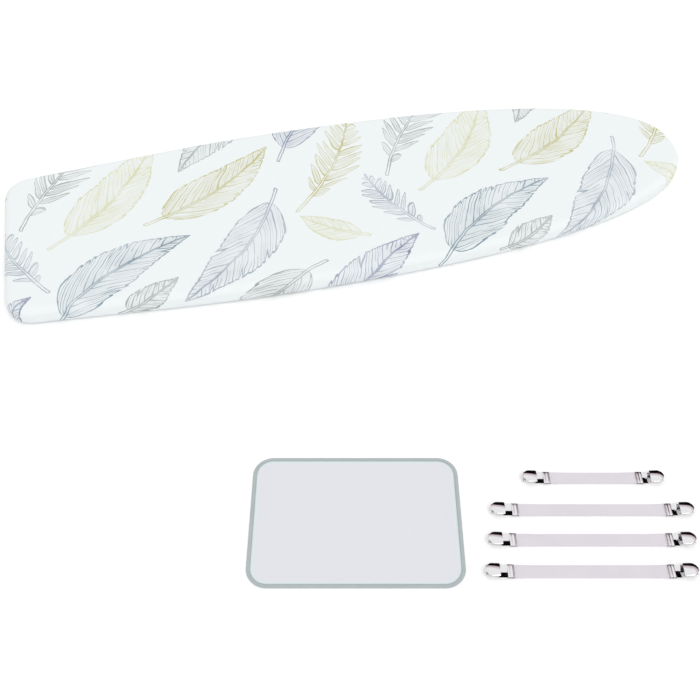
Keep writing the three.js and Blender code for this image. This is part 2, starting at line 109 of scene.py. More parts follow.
# Floor: a plain white sheet under the whole kit.
floor_z = cad_low.z
floor_size = 24.0
floor_sink = 0.0002
floor_glow = 0.15
bpy.ops.object.select_all(action="DESELECT")
bpy.ops.mesh.primitive_plane_add(size=floor_size, location=(0, 0, floor_z - floor_sink))
floor = bpy.context.object
floor.name = "floor"
floor_paint = bpy.data.materials.new("white floor")
floor_paint.use_nodes = True
floor_nodes = floor_paint.node_tree
floor_shader = floor_nodes.nodes["Principled BSDF"]
floor_shader.inputs["Base Color"].default_value = (0.93, 0.93, 0.93, 1.0)
floor_shader.inputs["Roughness"].default_value = 0.9
floor_shader.inputs["Emission Color"].default_value = (1.0, 1.0, 1.0, 1.0)
floor_path = floor_nodes.nodes.new("ShaderNodeLightPath")
floor_seen = floor_nodes.nodes.new("ShaderNodeMath")
floor_seen.operation = "MAXIMUM"
floor_nodes.links.new(floor_path.outputs["Is Camera Ray"], floor_seen.inputs[0])
floor_nodes.links.new(floor_path.outputs["Is Glossy Ray"], floor_seen.inputs[1])
floor_light = floor_nodes.nodes.new("ShaderNodeMath")
floor_light.operation = "MULTIPLY"
floor_light.inputs[1].default_value = floor_glow
floor_nodes.links.new(floor_seen.outputs[0], floor_light.inputs[0])
floor_nodes.links.new(floor_light.outputs[0], floor_shader.inputs["Emission Strength"])
floor.data.materials.append(floor_paint)


# Dark screen: a ring of card round the set, which only bright metal mirrors. It is black low down
# and fades through a pinkish grey to white, so that the plated clips show dark and bright parts.
screen_radius = 4.0
screen_height = 7.6
black_height = 3.9
grey_height = 4.3
bpy.ops.object.select_all(action="DESELECT")
bpy.ops.mesh.primitive_cylinder_add(
    vertices=96,
    radius=screen_radius,
    depth=screen_height,
    end_fill_type="NOTHING",
    location=(0, 0, floor_z + screen_height / 2),
)
screen = bpy.context.object
screen.name = "dark_screen"
screen.visible_camera = False
screen.visible_diffuse = False
screen.visible_transmission = False
screen.visible_shadow = False
screen_card = bpy.data.materials.new("graded card")
screen_card.use_nodes = True
card_nodes = screen_card.node_tree
card_shader = card_nodes.nodes["Principled BSDF"]
card_shader.inputs["Base Color"].default_value = (0.004, 0.003, 0.004, 1.0)
card_shader.inputs["Specular IOR Level"].default_value = 0.0
card_shader.inputs["Emission Strength"].default_value = 1.0
card_split = card_nodes.nodes.new("ShaderNodeSeparateXYZ")
card_place = card_nodes.nodes.new("ShaderNodeTexCoord").outputs["Object"]
card_nodes.links.new(card_place, card_split.inputs[0])
card_share = card_nodes.nodes.new("ShaderNodeMapRange")
card_share.inputs["From Min"].default_value = -screen_height / 2
card_share.inputs["From Max"].default_value = screen_height / 2
card_nodes.links.new(card_split.outputs["Z"], card_share.inputs["Value"])
card_grades = card_nodes.nodes.new("ShaderNodeValToRGB")
card_nodes.links.new(card_share.outputs["Result"], card_grades.inputs["Fac"])
card_grades.color_ramp.elements[0].position = black_height / screen_height
card_grades.color_ramp.elements[0].color = (0.0, 0.0, 0.0, 1.0)
card_grades.color_ramp.elements[1].color = (1.0, 1.0, 1.0, 1.0)
pinkish_grey = card_grades.color_ramp.elements.new(grey_height / screen_height)
pinkish_grey.color = (0.62, 0.50, 0.53, 1.0)
card_nodes.links.new(card_grades.outputs["Color"], card_shader.inputs["Emission Color"])
screen.data.materials.append(screen_card)


# Printed cover: one piece of smooth plain-weave cotton, printed with line drawings, drawn tight
# over the felt and turned under all round. Its hem is gathered by the elastic in the binding.
cover_low, cover_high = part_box("cover_sheet")
cover_length = cover_high.x - cover_low.x
shoulder_width = cover_high.y - cover_low.y
top_z = cover_high.z
tail_width = 0.334
shoulder_share = 0.422
side_power = 1.31
nose_power = 2.4
tail_corner_radius = 0.048
roll_width = 0.014
roll_height = 0.012
fold_radius = 0.008
hem_width = 0.036
hem_underside_z = cover_low.z
cloth_thickness = 0.0006
merge_distance = 0.00001
outline_steps = 720


def half_width_at(share):
    """Half the cover's width at a share of its length, between the tail and the shoulder."""
    swell = math.sin(math.pi / 2 * share / shoulder_share) ** side_power
    return (tail_width + (shoulder_width - tail_width) * swell) / 2


def far_half_of_outline():
    """Close points along the cover's outer edge, from the nose's tip past the far side to the
    middle of the tail."""
    tail_x = cover_low.x
    shoulder_x = tail_x + shoulder_share * cover_length
    nose_length = cover_high.x - shoulder_x
    corner_share = tail_corner_radius / cover_length
    corner_x = tail_x + tail_corner_radius
    corner_y = half_width_at(corner_share) - tail_corner_radius
    points = []
    for turn in np.linspace(0, math.pi / 2, 500):
        along = abs(math.cos(turn)) ** (2 / nose_power)
        across = math.sin(turn) ** (2 / nose_power)
        points.append((shoulder_x + nose_length * along, shoulder_width / 2 * across))
    for share in np.linspace(shoulder_share, corner_share, 240)[1:]:
        points.append((tail_x + share * cover_length, half_width_at(share)))
    for turn in np.linspace(math.pi / 2, math.pi, 60)[1:]:
        x = corner_x + tail_corner_radius * math.cos(turn)
        points.append((x, corner_y + tail_corner_radius * math.sin(turn)))
    points.append((tail_x, 0.0))
    return np.array(points)


def even_outline(far_half, steps):
    """Points at even steps round a shape that mirrors across its middle line, the outward
    direction at each, and the length of one step."""
    lengths = np.hypot(*np.diff(far_half, axis=0).T)
    walked = np.concatenate([[0], np.cumsum(lengths)])
    stops = np.linspace(0, walked[-1], steps // 2 + 1)
    far = np.stack([np.interp(stops, walked, far_half[:, axis]) for axis in (0, 1)], axis=1)
    near = far[1:-1][::-1] * (1, -1)
    points = np.concatenate([far, near])
    along = np.roll(points, -1, axis=0) - np.roll(points, 1, axis=0)
    outward = np.stack([along[:, 1], -along[:, 0]], axis=1)
    outward /= np.linalg.norm(outward, axis=1)[:, None]
    return points, outward, stops[1]


def quarter_arc(centre, radii, from_quarter, to_quarter, steps):
    """Points of [inset, height] on an elliptical arc, its angles in quarter turns."""
    turns = np.linspace(from_quarter, to_quarter, steps + 1) * math.pi / 2
    return [
        (centre[0] + radii[0] * math.cos(turn), centre[1] + radii[1] * math.sin(turn))
        for turn in turns
    ]


def carried_round(name, columns, rows, place):
    """A grid with its columns round an outline and its rows across it. place(column, row) gives
    each point, and points that meet are joined."""
    bpy.ops.object.select_all(action="DESELECT")
    bpy.ops.mesh.primitive_grid_add(x_subdivisions=columns, y_subdivisions=rows, size=1)
    piece = bpy.context.object
    piece.name = name
    for vertex in piece.data.vertices:
        column = round((vertex.co.x + 0.5) * columns)
        row = round((vertex.co.y + 0.5) * rows)
        vertex.co = place(column % columns, row)
    return piece


def close_up(piece):
    """Joins the points of a piece that meet, and turns its faces outwards."""
    bpy.ops.object.mode_set(mode="EDIT")
    bpy.ops.mesh.select_all(action="SELECT")
    bpy.ops.mesh.remove_doubles(threshold=merge_distance)
    bpy.ops.mesh.dissolve_degenerate(threshold=merge_distance)
    bpy.ops.mesh.normals_make_consistent(inside=False)
    bpy.ops.object.mode_set(mode="OBJECT")
    bpy.ops.object.shade_smooth()


def add_wall(piece, thickness, offset=-1):
    """Gives a sheet its thickness: offset -1 is inwards, 0 is both ways."""
    solidify = piece.modifiers.new("wall", "SOLIDIFY")
    solidify.thickness = thickness
    solidify.offset = offset
    bpy.context.view_layer.objects.active = piece
    bpy.ops.object.modifier_apply(modifier=solidify.name)


outline, outward, outline_step = even_outline(far_half_of_outline(), outline_steps)
top_edge = outline - outward * roll_width
nose_spine_gap = 0.15
spine_low_x = cover_low.x + tail_width / 2
spine_high_x = cover_high.x - nose_spine_gap
edge_roll_z = top_z - roll_height
fold_z = hem_underside_z + fold_radius
gather_length = 0.021
gather_height = 0.0021
pucker_depth = 0.0009
roll_ease = 0.0006
top_sink = 0.0006
broad_ripple = 0.0007
fine_ripple = 0.00022
top_rows = 16
roll_rows = 10
skirt_rows = 5
fold_rows = 8
hem_rows = 9
edge_profile = quarter_arc((roll_width, edge_roll_z), (roll_width, roll_height), 1, 2, roll_rows)
edge_profile += [
    (0.0, edge_roll_z + (fold_z - edge_roll_z) * row / skirt_rows) for row in range(1, skirt_rows)
]
edge_profile += quarter_arc((fold_radius, fold_z), (fold_radius, fold_radius), 2, 3, fold_rows)
edge_profile += [
    (fold_radius + (hem_width - fold_radius) * row / hem_rows, hem_underside_z)
    for row in range(1, hem_rows + 1)
]
edge_steps = np.hypot(*np.diff(np.array(edge_profile), axis=0).T)
edge_reach = np.concatenate([[0], np.cumsum(edge_steps)])


def gathers(column):
    """How far the elastic has drawn the hem into a fold, 0 to 1, at a column of the outline."""
    walked = column * outline_step
    turn = 2 * math.pi * column / outline_steps
    ring_place = Vector((math.cos(turn), math.sin(turn), 0)) * 7
    slip = 2.4 * noise.noise(ring_place * 2)
    depth = 0.6 + 0.55 * noise.noise(ring_place * 3 + Vector((0, 0, 5)))
    waves = round(outline_steps * outline_step / gather_length)
    wave = 0.5 + 0.5 * math.sin(waves * turn + slip)
    return depth * wave ** 1.5


def top_ripple(x, y):
    """The slight unevenness of cotton drawn over felt."""
    broad = noise.noise(Vector((x * 5.5, y * 7.0, 0.0)))
    fine = noise.noise(Vector((x * 16.0, y * 22.0, 3.0)))
    return broad_ripple * broad + fine_ripple * fine


def cover_place(column, row):
    """A point of the cover's outer face."""
    edge = top_edge[column]
    if row < top_rows:
        middle = np.array([min(max(edge[0], spine_low_x), spine_high_x), 0.0])
        x, y = middle + (edge - middle) * row / top_rows
        calm = 1 - (row / top_rows) ** 6
        return Vector((x, y, top_z - top_sink + calm * top_ripple(x, y)))
    inset, z = edge_profile[row - top_rows]
    down_share = (row - top_rows) / (len(edge_profile) - 1)
    fold = gathers(column)
    under_share = max(0.0, (inset - fold_radius) / (hem_width - fold_radius))
    on_hem = under_share if row > top_rows + roll_rows + skirt_rows else 0.0
    z += gather_height * fold * on_hem ** 0.8
    pucker = pucker_depth * (fold - 0.3) * max(0.0, down_share * 2.2 - 0.7) * (1 - on_hem)
    ease = roll_ease * max(0.0, 1 - down_share * 4)
    x, y = outline[column] - outward[column] * (inset - pucker)
    return Vector((x, y, z - ease))


def cloth_place(column, row):
    """The same point on the cloth as it was printed, flat."""
    if row < top_rows:
        x, y, _ = cover_place(column, row)
        return (x, y, 0.0)
    x, y = top_edge[column] + outward[column] * edge_reach[row - top_rows]
    return (x, y, 0.0)


cover_rows = top_rows + len(edge_profile) - 1
cover = carried_round("sewn_cover", outline_steps, cover_rows, cover_place)
on_cloth = cover.data.attributes.new("on_cloth", "FLOAT_VECTOR", "POINT")
grid_columns = outline_steps + 1
for index in range(len(cover.data.vertices)):
    column = index % grid_columns
    row = index // grid_columns
    on_cloth.data[index].vector = cloth_place(column % outline_steps, row)
close_up(cover)
add_wall(cover, cloth_thickness)


def calc(tree, operation, *values):
    """A sum on numbers or sockets."""
    node = tree.nodes.new("ShaderNodeMath")
    node.operation = operation
    for socket, value in zip(node.inputs, values):
        if isinstance(value, bpy.types.NodeSocket):
            tree.links.new(value, socket)
        else:
            socket.default_value = value
    return node.outputs[0]


def vector_calc(tree, operation, *values):
    """A sum on vectors. A single number goes to the Scale socket."""
    node = tree.nodes.new("ShaderNodeVectorMath")
    node.operation = operation
    vectors = [socket for socket in node.inputs if socket.type == "VECTOR"]
    for value in values:
        if isinstance(value, (int, float)):
            node.inputs["Scale"].default_value = value
            continue
        socket = vectors.pop(0)
        if isinstance(value, bpy.types.NodeSocket):
            tree.links.new(value, socket)
        else:
            socket.default_value = value
    return node.outputs["Vector"]


def between(tree, value, low, high, from_value=0.0, to_value=1.0):
    """Rises smoothly from one value to the other while the given one goes from low to high."""
    node = tree.nodes.new("ShaderNodeMapRange")
    node.interpolation_type = "SMOOTHSTEP"
    for name, given in (
        ("Value", value),
        ("From Min", low),
        ("From Max", high),
        ("To Min", from_value),
        ("To Max", to_value),
    ):
        if isinstance(given, bpy.types.NodeSocket):
            tree.links.new(given, node.inputs[name])
        else:
            node.inputs[name].default_value = given
    return node.outputs["Result"]


def mottle(tree, place, scale, detail=2.0, roughness=0.5):
    """Noise at a place: its value, and its colour as a vector."""
    node = tree.nodes.new("ShaderNodeTexNoise")
    node.inputs["Scale"].default_value = scale
    node.inputs["Detail"].default_value = detail
    node.inputs["Roughness"].default_value = roughness
    tree.links.new(place, node.inputs["Vector"])
    return node.outputs[0], node.outputs[1]


def tinted(tree, share, first, second):
    """One colour turning into another."""
    node = tree.nodes.new("ShaderNodeMix")
    node.data_type = "RGBA"
    for socket, value in ((node.inputs[0], share), (node.inputs[6], first), (node.inputs[7], second)):
        if isinstance(value, bpy.types.NodeSocket):
            tree.links.new(value, socket)
        else:
            socket.default_value = value
    return node.outputs[2]


def new_group(name, inputs, outputs):
    """A group with named sockets. Each input is its name and its value: a number or a vector."""
    tree = bpy.data.node_groups.new(name, "ShaderNodeTree")
    for socket_name, value in inputs:
        kind = "NodeSocketVector" if isinstance(value, tuple) else "NodeSocketFloat"
        socket = tree.interface.new_socket(socket_name, in_out="INPUT", socket_type=kind)
        socket.default_value = value
    for socket_name in outputs:
        tree.interface.new_socket(socket_name, in_out="OUTPUT", socket_type="NodeSocketFloat")
    given = tree.nodes.new("NodeGroupInput").outputs
    made = tree.nodes.new("NodeGroupOutput").inputs
    return tree, given, made


def use_group(tree, group, **values):
    """A group placed in a material. Words in its sockets' names are joined by _ here."""
    node = tree.nodes.new("ShaderNodeGroup")
    node.node_tree = group
    for name, value in values.items():
        socket = node.inputs[name.replace("_", " ")]
        if isinstance(value, bpy.types.NodeSocket):
            tree.links.new(value, socket)
        else:
            socket.default_value = value
    return node.outputs


def screen_colour(red, green, blue):
    """A colour given as it looks on a screen, 0 to 255 each, as a shader takes it."""
    parts = []
    for part in (red, green, blue):
        share = part / 255
        parts.append(share / 12.92 if share <= 0.04045 else ((share + 0.055) / 1.055) ** 2.4)
    return (*parts, 1.0)


def new_material(name, roughness):
    """A material, its nodes and its shader."""
    material = bpy.data.materials.new(name)
    material.use_nodes = True
    shader = material.node_tree.nodes["Principled BSDF"]
    shader.inputs["Roughness"].default_value = roughness
    return material, material.node_tree, shader


def give_bump(tree, shader, height, distance, strength=1.0):
    """Raises the surface by a height."""
    node = tree.nodes.new("ShaderNodeBump")
    node.inputs["Strength"].default_value = strength
    node.inputs["Distance"].default_value = distance
    tree.links.new(height, node.inputs["Height"])
    tree.links.new(node.outputs["Normal"], shader.inputs["Normal"])


pattern_repeat = (0.64, 0.47, 1.0)
stalk_share = 0.13
rib_half_width = 0.0026
stroke_softness = 0.0004
split_half_share = 0.32
leaf_splits = 0.6
wash_share = 0.06


def motif_frame(tree, given):
    """Where a point of the cloth lies on one motif: its share of the way from stalk to tip, and
    its distance to one side of the bowed rib."""
    half_repeat = tuple(size / 2 for size in pattern_repeat)
    minus_half_repeat = tuple(-size / 2 for size in pattern_repeat)
    from_middle = vector_calc(tree, "SUBTRACT", given["Cloth"], given["Place"])
    nearest = vector_calc(tree, "WRAP", from_middle, half_repeat, minus_half_repeat)
    rotate = tree.nodes.new("ShaderNodeVectorRotate")
    rotate.rotation_type = "Z_AXIS"
    tree.links.new(nearest, rotate.inputs["Vector"])
    tree.links.new(calc(tree, "MULTIPLY", given["Turn"], -1.0), rotate.inputs["Angle"])
    split = tree.nodes.new("ShaderNodeSeparateXYZ")
    tree.links.new(rotate.outputs["Vector"], split.inputs[0])
    share = calc(tree, "ADD", calc(tree, "DIVIDE", split.outputs["X"], given["Length"]), 0.5)
    bow = calc(tree, "MULTIPLY", share, calc(tree, "SUBTRACT", 1.0, share))
    bow = calc(tree, "MULTIPLY", calc(tree, "MULTIPLY", bow, 4.0), given["Bow"])
    across = calc(tree, "SUBTRACT", split.outputs["Y"], bow)
    return share, across


def stroke(tree, distance, width):
    """A drawn line: 1 near its middle and 0 beside it."""
    half = calc(tree, "MULTIPLY", width, 0.5)
    return between(tree, distance, half, calc(tree, "ADD", half, stroke_softness), 1.0, 0.0)


def half_blade(tree, blade, half_width):
    """Half the width of a pointed blade at a share of its length."""
    swell = calc(tree, "POWER", blade, 0.6)
    taper = calc(tree, "POWER", calc(tree, "SUBTRACT", 1.0, blade), 1.05)
    shape = calc(tree, "MULTIPLY", calc(tree, "MULTIPLY", swell, taper), 2.95)
    return calc(tree, "MULTIPLY", shape, half_width)


def rib_strokes(tree, share, reach, width, length):
    """The rib of a motif, drawn as two lines that run together at the tip, and how far out from
    its middle they lie."""
    left = calc(tree, "MAXIMUM", calc(tree, "SUBTRACT", 1.0, share), 0.0)
    half = calc(tree, "MULTIPLY", calc(tree, "POWER", left, 0.7), rib_half_width)
    lines = stroke(tree, calc(tree, "ABSOLUTE", calc(tree, "SUBTRACT", reach, half)), width)
    from_end = calc(tree, "MULTIPLY", calc(tree, "ABSOLUTE", share), length)
    end = calc(tree, "MULTIPLY", stroke(tree, from_end, width), calc(tree, "LESS_THAN", reach, half))
    along = calc(
        tree, "MULTIPLY", calc(tree, "GREATER_THAN", share, 0.0), calc(tree, "LESS_THAN", share, 0.985)
    )
    return calc(tree, "MAXIMUM", calc(tree, "MULTIPLY", lines, along), end), half


def on_side(tree, across):
    """1 on one side of the rib and 0 on the other."""
    return calc(tree, "GREATER_THAN", across, 0.0)


def uneven_veins(tree, given, along, side):
    """Counts the veins from the stalk on. They are unevenly spaced, and those of one side start
    between those of the other: the whole number, and the share of the way to the next."""
    slow = calc(tree, "SINE", calc(tree, "MULTIPLY_ADD", along, 21.0, given["Seed"]))
    shifted = calc(tree, "MULTIPLY", side, 2.0)
    quick = calc(tree, "SINE", calc(tree, "MULTIPLY_ADD", along, 47.0, shifted))
    wander = calc(tree, "MULTIPLY_ADD", slow, 0.014, calc(tree, "MULTIPLY", quick, 0.006))
    count = calc(tree, "MULTIPLY", calc(tree, "ADD", along, wander), given["Veins"])
    count = calc(tree, "MULTIPLY_ADD", side, 0.5, count)
    return calc(tree, "FLOOR", count), calc(tree, "FRACT", count)


def chance(tree, number):
    """A random share for each whole number."""
    node = tree.nodes.new("ShaderNodeTexWhiteNoise")
    node.noise_dimensions = "1D"
    tree.links.new(number, node.inputs["W"])
    return node.outputs["Value"]


motif_inputs = [
    ("Cloth", (0.0, 0.0, 0.0)),
    ("Place", (0.0, 0.0, 0.0)),
    ("Turn", 0.0),
    ("Length", 0.24),
    ("Half Width", 0.045),
    ("Bow", 0.0),
    ("Veins", 15.0),
    ("Sweep", 0.25),
    ("Splits", 0.4),
    ("Seed", 0.0),
    ("Line", 0.0017),
]


def build_leaf_drawing():
    """A long leaf in line: its edge, split in between some of the veins, veins that curve
    forward with finer strokes between them, and a double rib with a stalk. Depth is the share of
    the way from the edge in to the rib, for the wash of thin ink."""
    tree, given, made = new_group("leaf drawing", motif_inputs, ["Ink", "Shape", "Depth"])
    share, across = motif_frame(tree, given)
    reach = calc(tree, "ABSOLUTE", across)
    side = on_side(tree, across)
    blade = calc(tree, "DIVIDE", calc(tree, "SUBTRACT", share, stalk_share), 1 - stalk_share)
    blade_part = calc(tree, "MINIMUM", calc(tree, "MAXIMUM", blade, 0.002), 0.998)
    half = half_blade(tree, blade_part, given["Half Width"])
    half = calc(tree, "MULTIPLY", half, calc(tree, "MULTIPLY_ADD", side, 0.16, 0.92))
    out_share = calc(tree, "DIVIDE", reach, given["Half Width"])
    swept = calc(tree, "MULTIPLY", calc(tree, "POWER", out_share, 1.25), given["Sweep"])
    along = calc(tree, "SUBTRACT", blade_part, swept)
    number, phase = uneven_veins(tree, given, along, side)
    from_middle = calc(tree, "ABSOLUTE", calc(tree, "SUBTRACT", phase, 0.5))
    from_vein = calc(tree, "SUBTRACT", 0.5, from_middle)
    spacing = calc(tree, "DIVIDE", calc(tree, "MULTIPLY", given["Length"], 0.72), given["Veins"])
    drawn_number = calc(tree, "ADD", calc(tree, "MULTIPLY_ADD", side, 31.0, number), given["Seed"])
    luck = calc(tree, "MULTIPLY_ADD", chance(tree, drawn_number), 2.6, -1.6)
    luck = calc(tree, "MAXIMUM", luck, 0.0)
    split_depth = calc(tree, "MULTIPLY", luck, given["Splits"])
    gape = calc(tree, "MINIMUM", calc(tree, "DIVIDE", from_middle, split_half_share), 1.0)
    gape = calc(tree, "SUBTRACT", 1.0, gape)
    lobe = calc(tree, "MULTIPLY", calc(tree, "POWER", from_vein, 1.8), 0.2)
    cut_in = calc(tree, "MULTIPLY_ADD", split_depth, gape, lobe)
    edge = calc(tree, "MULTIPLY", half, calc(tree, "SUBTRACT", 1.0, cut_in))
    split_reach = calc(tree, "MULTIPLY", half, split_depth)
    split_width = calc(tree, "MULTIPLY", spacing, split_half_share)
    steepness = calc(tree, "DIVIDE", split_reach, split_width)
    steepness = calc(tree, "MULTIPLY", steepness, calc(tree, "GREATER_THAN", gape, 0.0))
    steepness = calc(tree, "ADD", steepness, 1.0)
    inside = calc(tree, "LESS_THAN", reach, edge)
    on_blade = calc(
        tree, "MULTIPLY", calc(tree, "GREATER_THAN", blade, 0.0), calc(tree, "LESS_THAN", blade, 1.0)
    )
    shape = calc(tree, "MULTIPLY", inside, on_blade)
    edge_distance = calc(tree, "ABSOLUTE", calc(tree, "SUBTRACT", reach, edge))
    edge_line = stroke(tree, calc(tree, "DIVIDE", edge_distance, steepness), given["Line"])
    edge_line = calc(tree, "MULTIPLY", edge_line, on_blade)
    thin = calc(tree, "MULTIPLY", given["Line"], 0.8)
    rib, rib_half = rib_strokes(tree, share, reach, thin, given["Length"])
    beside_rib = calc(tree, "GREATER_THAN", reach, rib_half)
    vein_line = stroke(tree, calc(tree, "MULTIPLY", from_vein, spacing), thin)
    vein_line = calc(tree, "MULTIPLY", calc(tree, "MULTIPLY", vein_line, shape), beside_rib)
    edge_share = calc(tree, "DIVIDE", reach, calc(tree, "MAXIMUM", edge, 0.0001))
    hair_luck = chance(tree, calc(tree, "ADD", drawn_number, 101.0))
    hair_start = calc(tree, "MULTIPLY_ADD", hair_luck, 0.5, 0.12)
    near_edge = between(tree, edge_share, hair_start, calc(tree, "ADD", hair_start, 0.08))
    finest = calc(tree, "MULTIPLY", given["Line"], 0.55)
    hair = stroke(tree, calc(tree, "MULTIPLY", from_middle, spacing), finest)
    hair = calc(tree, "MULTIPLY", calc(tree, "MULTIPLY", hair, near_edge), shape)
    ink = calc(tree, "MAXIMUM", calc(tree, "MAXIMUM", edge_line, vein_line), rib)
    ink = calc(tree, "MAXIMUM", ink, calc(tree, "MULTIPLY", hair, 0.8))
    tree.links.new(ink, made["Ink"])
    tree.links.new(shape, made["Shape"])
    depth = calc(tree, "MULTIPLY", calc(tree, "SUBTRACT", 1.0, edge_share), shape)
    tree.links.new(depth, made["Depth"])
    return tree


def build_frond_drawing():
    """A fern frond in line: pairs of narrow leaflets, each with its own middle line, on a double
    rib, the longest below the middle."""
    tree, given, made = new_group("frond drawing", motif_inputs, ["Ink", "Shape", "Depth"])
    share, across = motif_frame(tree, given)
    reach = calc(tree, "ABSOLUTE", across)
    blade = calc(tree, "DIVIDE", calc(tree, "SUBTRACT", share, stalk_share), 1 - stalk_share)
    out_share = calc(tree, "DIVIDE", reach, given["Half Width"])
    swept = calc(tree, "MULTIPLY", calc(tree, "POWER", out_share, 1.2), given["Sweep"])
    side = on_side(tree, across)
    along = calc(tree, "SUBTRACT", blade, swept)
    number, phase = uneven_veins(tree, given, along, side)
    aside = calc(tree, "ABSOLUTE", calc(tree, "SUBTRACT", phase, 0.5))
    middle = calc(tree, "SUBTRACT", calc(tree, "ADD", number, 0.5), calc(tree, "MULTIPLY", side, 0.5))
    root = calc(tree, "DIVIDE", middle, given["Veins"])
    root_part = calc(tree, "MINIMUM", calc(tree, "MAXIMUM", root, 0.002), 0.985)
    leaflet_length = half_blade(tree, root_part, given["Half Width"])
    drawn_number = calc(tree, "ADD", calc(tree, "MULTIPLY_ADD", side, 31.0, number), given["Seed"])
    uneven_length = calc(tree, "MULTIPLY_ADD", chance(tree, drawn_number), 0.22, 0.86)
    leaflet_length = calc(tree, "MULTIPLY", leaflet_length, uneven_length)
    out = calc(tree, "DIVIDE", reach, leaflet_length)
    out_part = calc(tree, "MINIMUM", calc(tree, "MAXIMUM", out, 0.0), 1.0)
    swell = calc(tree, "POWER", out_part, 0.5)
    taper = calc(tree, "POWER", calc(tree, "SUBTRACT", 1.0, out_part), 0.75)
    fatness = calc(tree, "MULTIPLY", calc(tree, "MULTIPLY", swell, taper), 0.78)
    spacing = calc(tree, "DIVIDE", calc(tree, "MULTIPLY", given["Length"], 0.72), given["Veins"])
    in_reach = calc(tree, "LESS_THAN", out, 1.0)
    on_blade = calc(
        tree, "MULTIPLY", calc(tree, "GREATER_THAN", root, 0.0), calc(tree, "LESS_THAN", root, 0.99)
    )
    allowed = calc(tree, "MULTIPLY", in_reach, on_blade)
    shape = calc(tree, "MULTIPLY", calc(tree, "LESS_THAN", aside, fatness), allowed)
    thin = calc(tree, "MULTIPLY", given["Line"], 0.8)
    edge_distance = calc(tree, "ABSOLUTE", calc(tree, "SUBTRACT", aside, fatness))
    edge_line = stroke(tree, calc(tree, "MULTIPLY", edge_distance, spacing), thin)
    finest = calc(tree, "MULTIPLY", given["Line"], 0.4)
    middle_line = stroke(tree, calc(tree, "MULTIPLY", aside, spacing), finest)
    middle_line = calc(tree, "MULTIPLY", middle_line, calc(tree, "LESS_THAN", out, 0.8))
    leaflets = calc(tree, "MULTIPLY", calc(tree, "MAXIMUM", edge_line, middle_line), allowed)
    rib, rib_half = rib_strokes(tree, share, reach, thin, given["Length"])
    leaflets = calc(tree, "MULTIPLY", leaflets, calc(tree, "GREATER_THAN", reach, rib_half))
    tree.links.new(calc(tree, "MAXIMUM", leaflets, rib), made["Ink"])
    tree.links.new(shape, made["Shape"])
    depth = calc(tree, "MULTIPLY", calc(tree, "SUBTRACT", 1.0, out_part), shape)
    tree.links.new(depth, made["Depth"])
    return tree


def build_woven_cloth():
    """Plain weave: threads that pass over and under each other, with a little slub."""
    inputs = [("Place", (0.0, 0.0, 0.0)), ("Thread", 0.0005)]
    tree, given, made = new_group("woven cloth", inputs, ["Height", "Tone"])
    split = tree.nodes.new("ShaderNodeSeparateXYZ")
    tree.links.new(given["Place"], split.inputs[0])
    waves = []
    for axis in ("X", "Y"):
        turns = calc(tree, "MULTIPLY", split.outputs[axis], math.pi)
        waves.append(calc(tree, "SINE", calc(tree, "DIVIDE", turns, given["Thread"])))
    crossing = calc(tree, "MULTIPLY", *waves)
    slub, _ = mottle(tree, given["Place"], 900.0, 3.0)
    tree.links.new(calc(tree, "ADD", crossing, slub), made["Height"])
    broad, _ = mottle(tree, given["Place"], 14.0, 4.0)
    tree.links.new(broad, made["Tone"])
    return tree


leaf_drawing = build_leaf_drawing()
frond_drawing = build_frond_drawing()
woven_cloth = build_woven_cloth()

cotton_white = screen_colour(241, 246, 247)
pale_gold = screen_colour(217, 217, 172)
gold = screen_colour(199, 195, 134)
slate_blue = screen_colour(136, 148, 174)
teal_blue = screen_colour(134, 155, 168)
sage_grey = screen_colour(160, 169, 166)
mist_blue = screen_colour(170, 181, 192)

# Each motif: drawing, ink, place in the repeat, turn in degrees, length, half width, bow, veins
# and how far each vein sweeps forward.
motifs = [
    (leaf_drawing, slate_blue, (0.617, 0.221), 49, 0.300, 0.047, 0.026, 14, 0.30),
    (leaf_drawing, gold, (0.385, 0.072), 34, 0.290, 0.045, -0.024, 13, 0.32),
    (frond_drawing, sage_grey, (0.145, 0.138), 54, 0.285, 0.048, 0.020, 11, 0.21),
    (leaf_drawing, mist_blue, (0.406, 0.388), 231, 0.300, 0.046, 0.028, 13, 0.31),
    (leaf_drawing, pale_gold, (0.203, 0.091), 52, 0.310, 0.048, -0.026, 14, 0.33),
    (frond_drawing, gold, (0.598, 0.086), 59, 0.280, 0.046, -0.020, 10, 0.22),
    (leaf_drawing, sage_grey, (0.444, 0.212), 222, 0.285, 0.044, -0.024, 12, 0.30),
    (leaf_drawing, teal_blue, (0.217, 0.337), 34, 0.295, 0.046, 0.026, 13, 0.32),
    (frond_drawing, mist_blue, (0.063, 0.423), 116, 0.190, 0.034, 0.012, 9, 0.18),
    (leaf_drawing, pale_gold, (0.581, 0.386), 145, 0.130, 0.025, 0.008, 8, 0.28),
    (leaf_drawing, sage_grey, (0.257, 0.296), 28, 0.120, 0.024, -0.008, 8, 0.28),
]

printed_cotton, nodes, shader = new_material("printed cotton", 0.85)
shader.inputs["Specular IOR Level"].default_value = 0.25
shader.inputs["Sheen Weight"].default_value = 0.12
shader.inputs["Sheen Roughness"].default_value = 0.5
cloth = nodes.nodes.new("ShaderNodeAttribute")
cloth.attribute_name = "on_cloth"
_, broad_waver = mottle(nodes, cloth.outputs["Vector"], 22.0, 1.0)
_, fine_waver = mottle(nodes, cloth.outputs["Vector"], 120.0, 1.0)
hand = vector_calc(nodes, "SUBTRACT", broad_waver, (0.5, 0.5, 0.5))
hand = vector_calc(nodes, "SCALE", hand, 0.009)
tremble = vector_calc(nodes, "SUBTRACT", fine_waver, (0.5, 0.5, 0.5))
tremble = vector_calc(nodes, "SCALE", tremble, 0.0014)
drawn = vector_calc(nodes, "ADD", cloth.outputs["Vector"], vector_calc(nodes, "ADD", hand, tremble))
pressure, _ = mottle(nodes, cloth.outputs["Vector"], 60.0, 2.0)
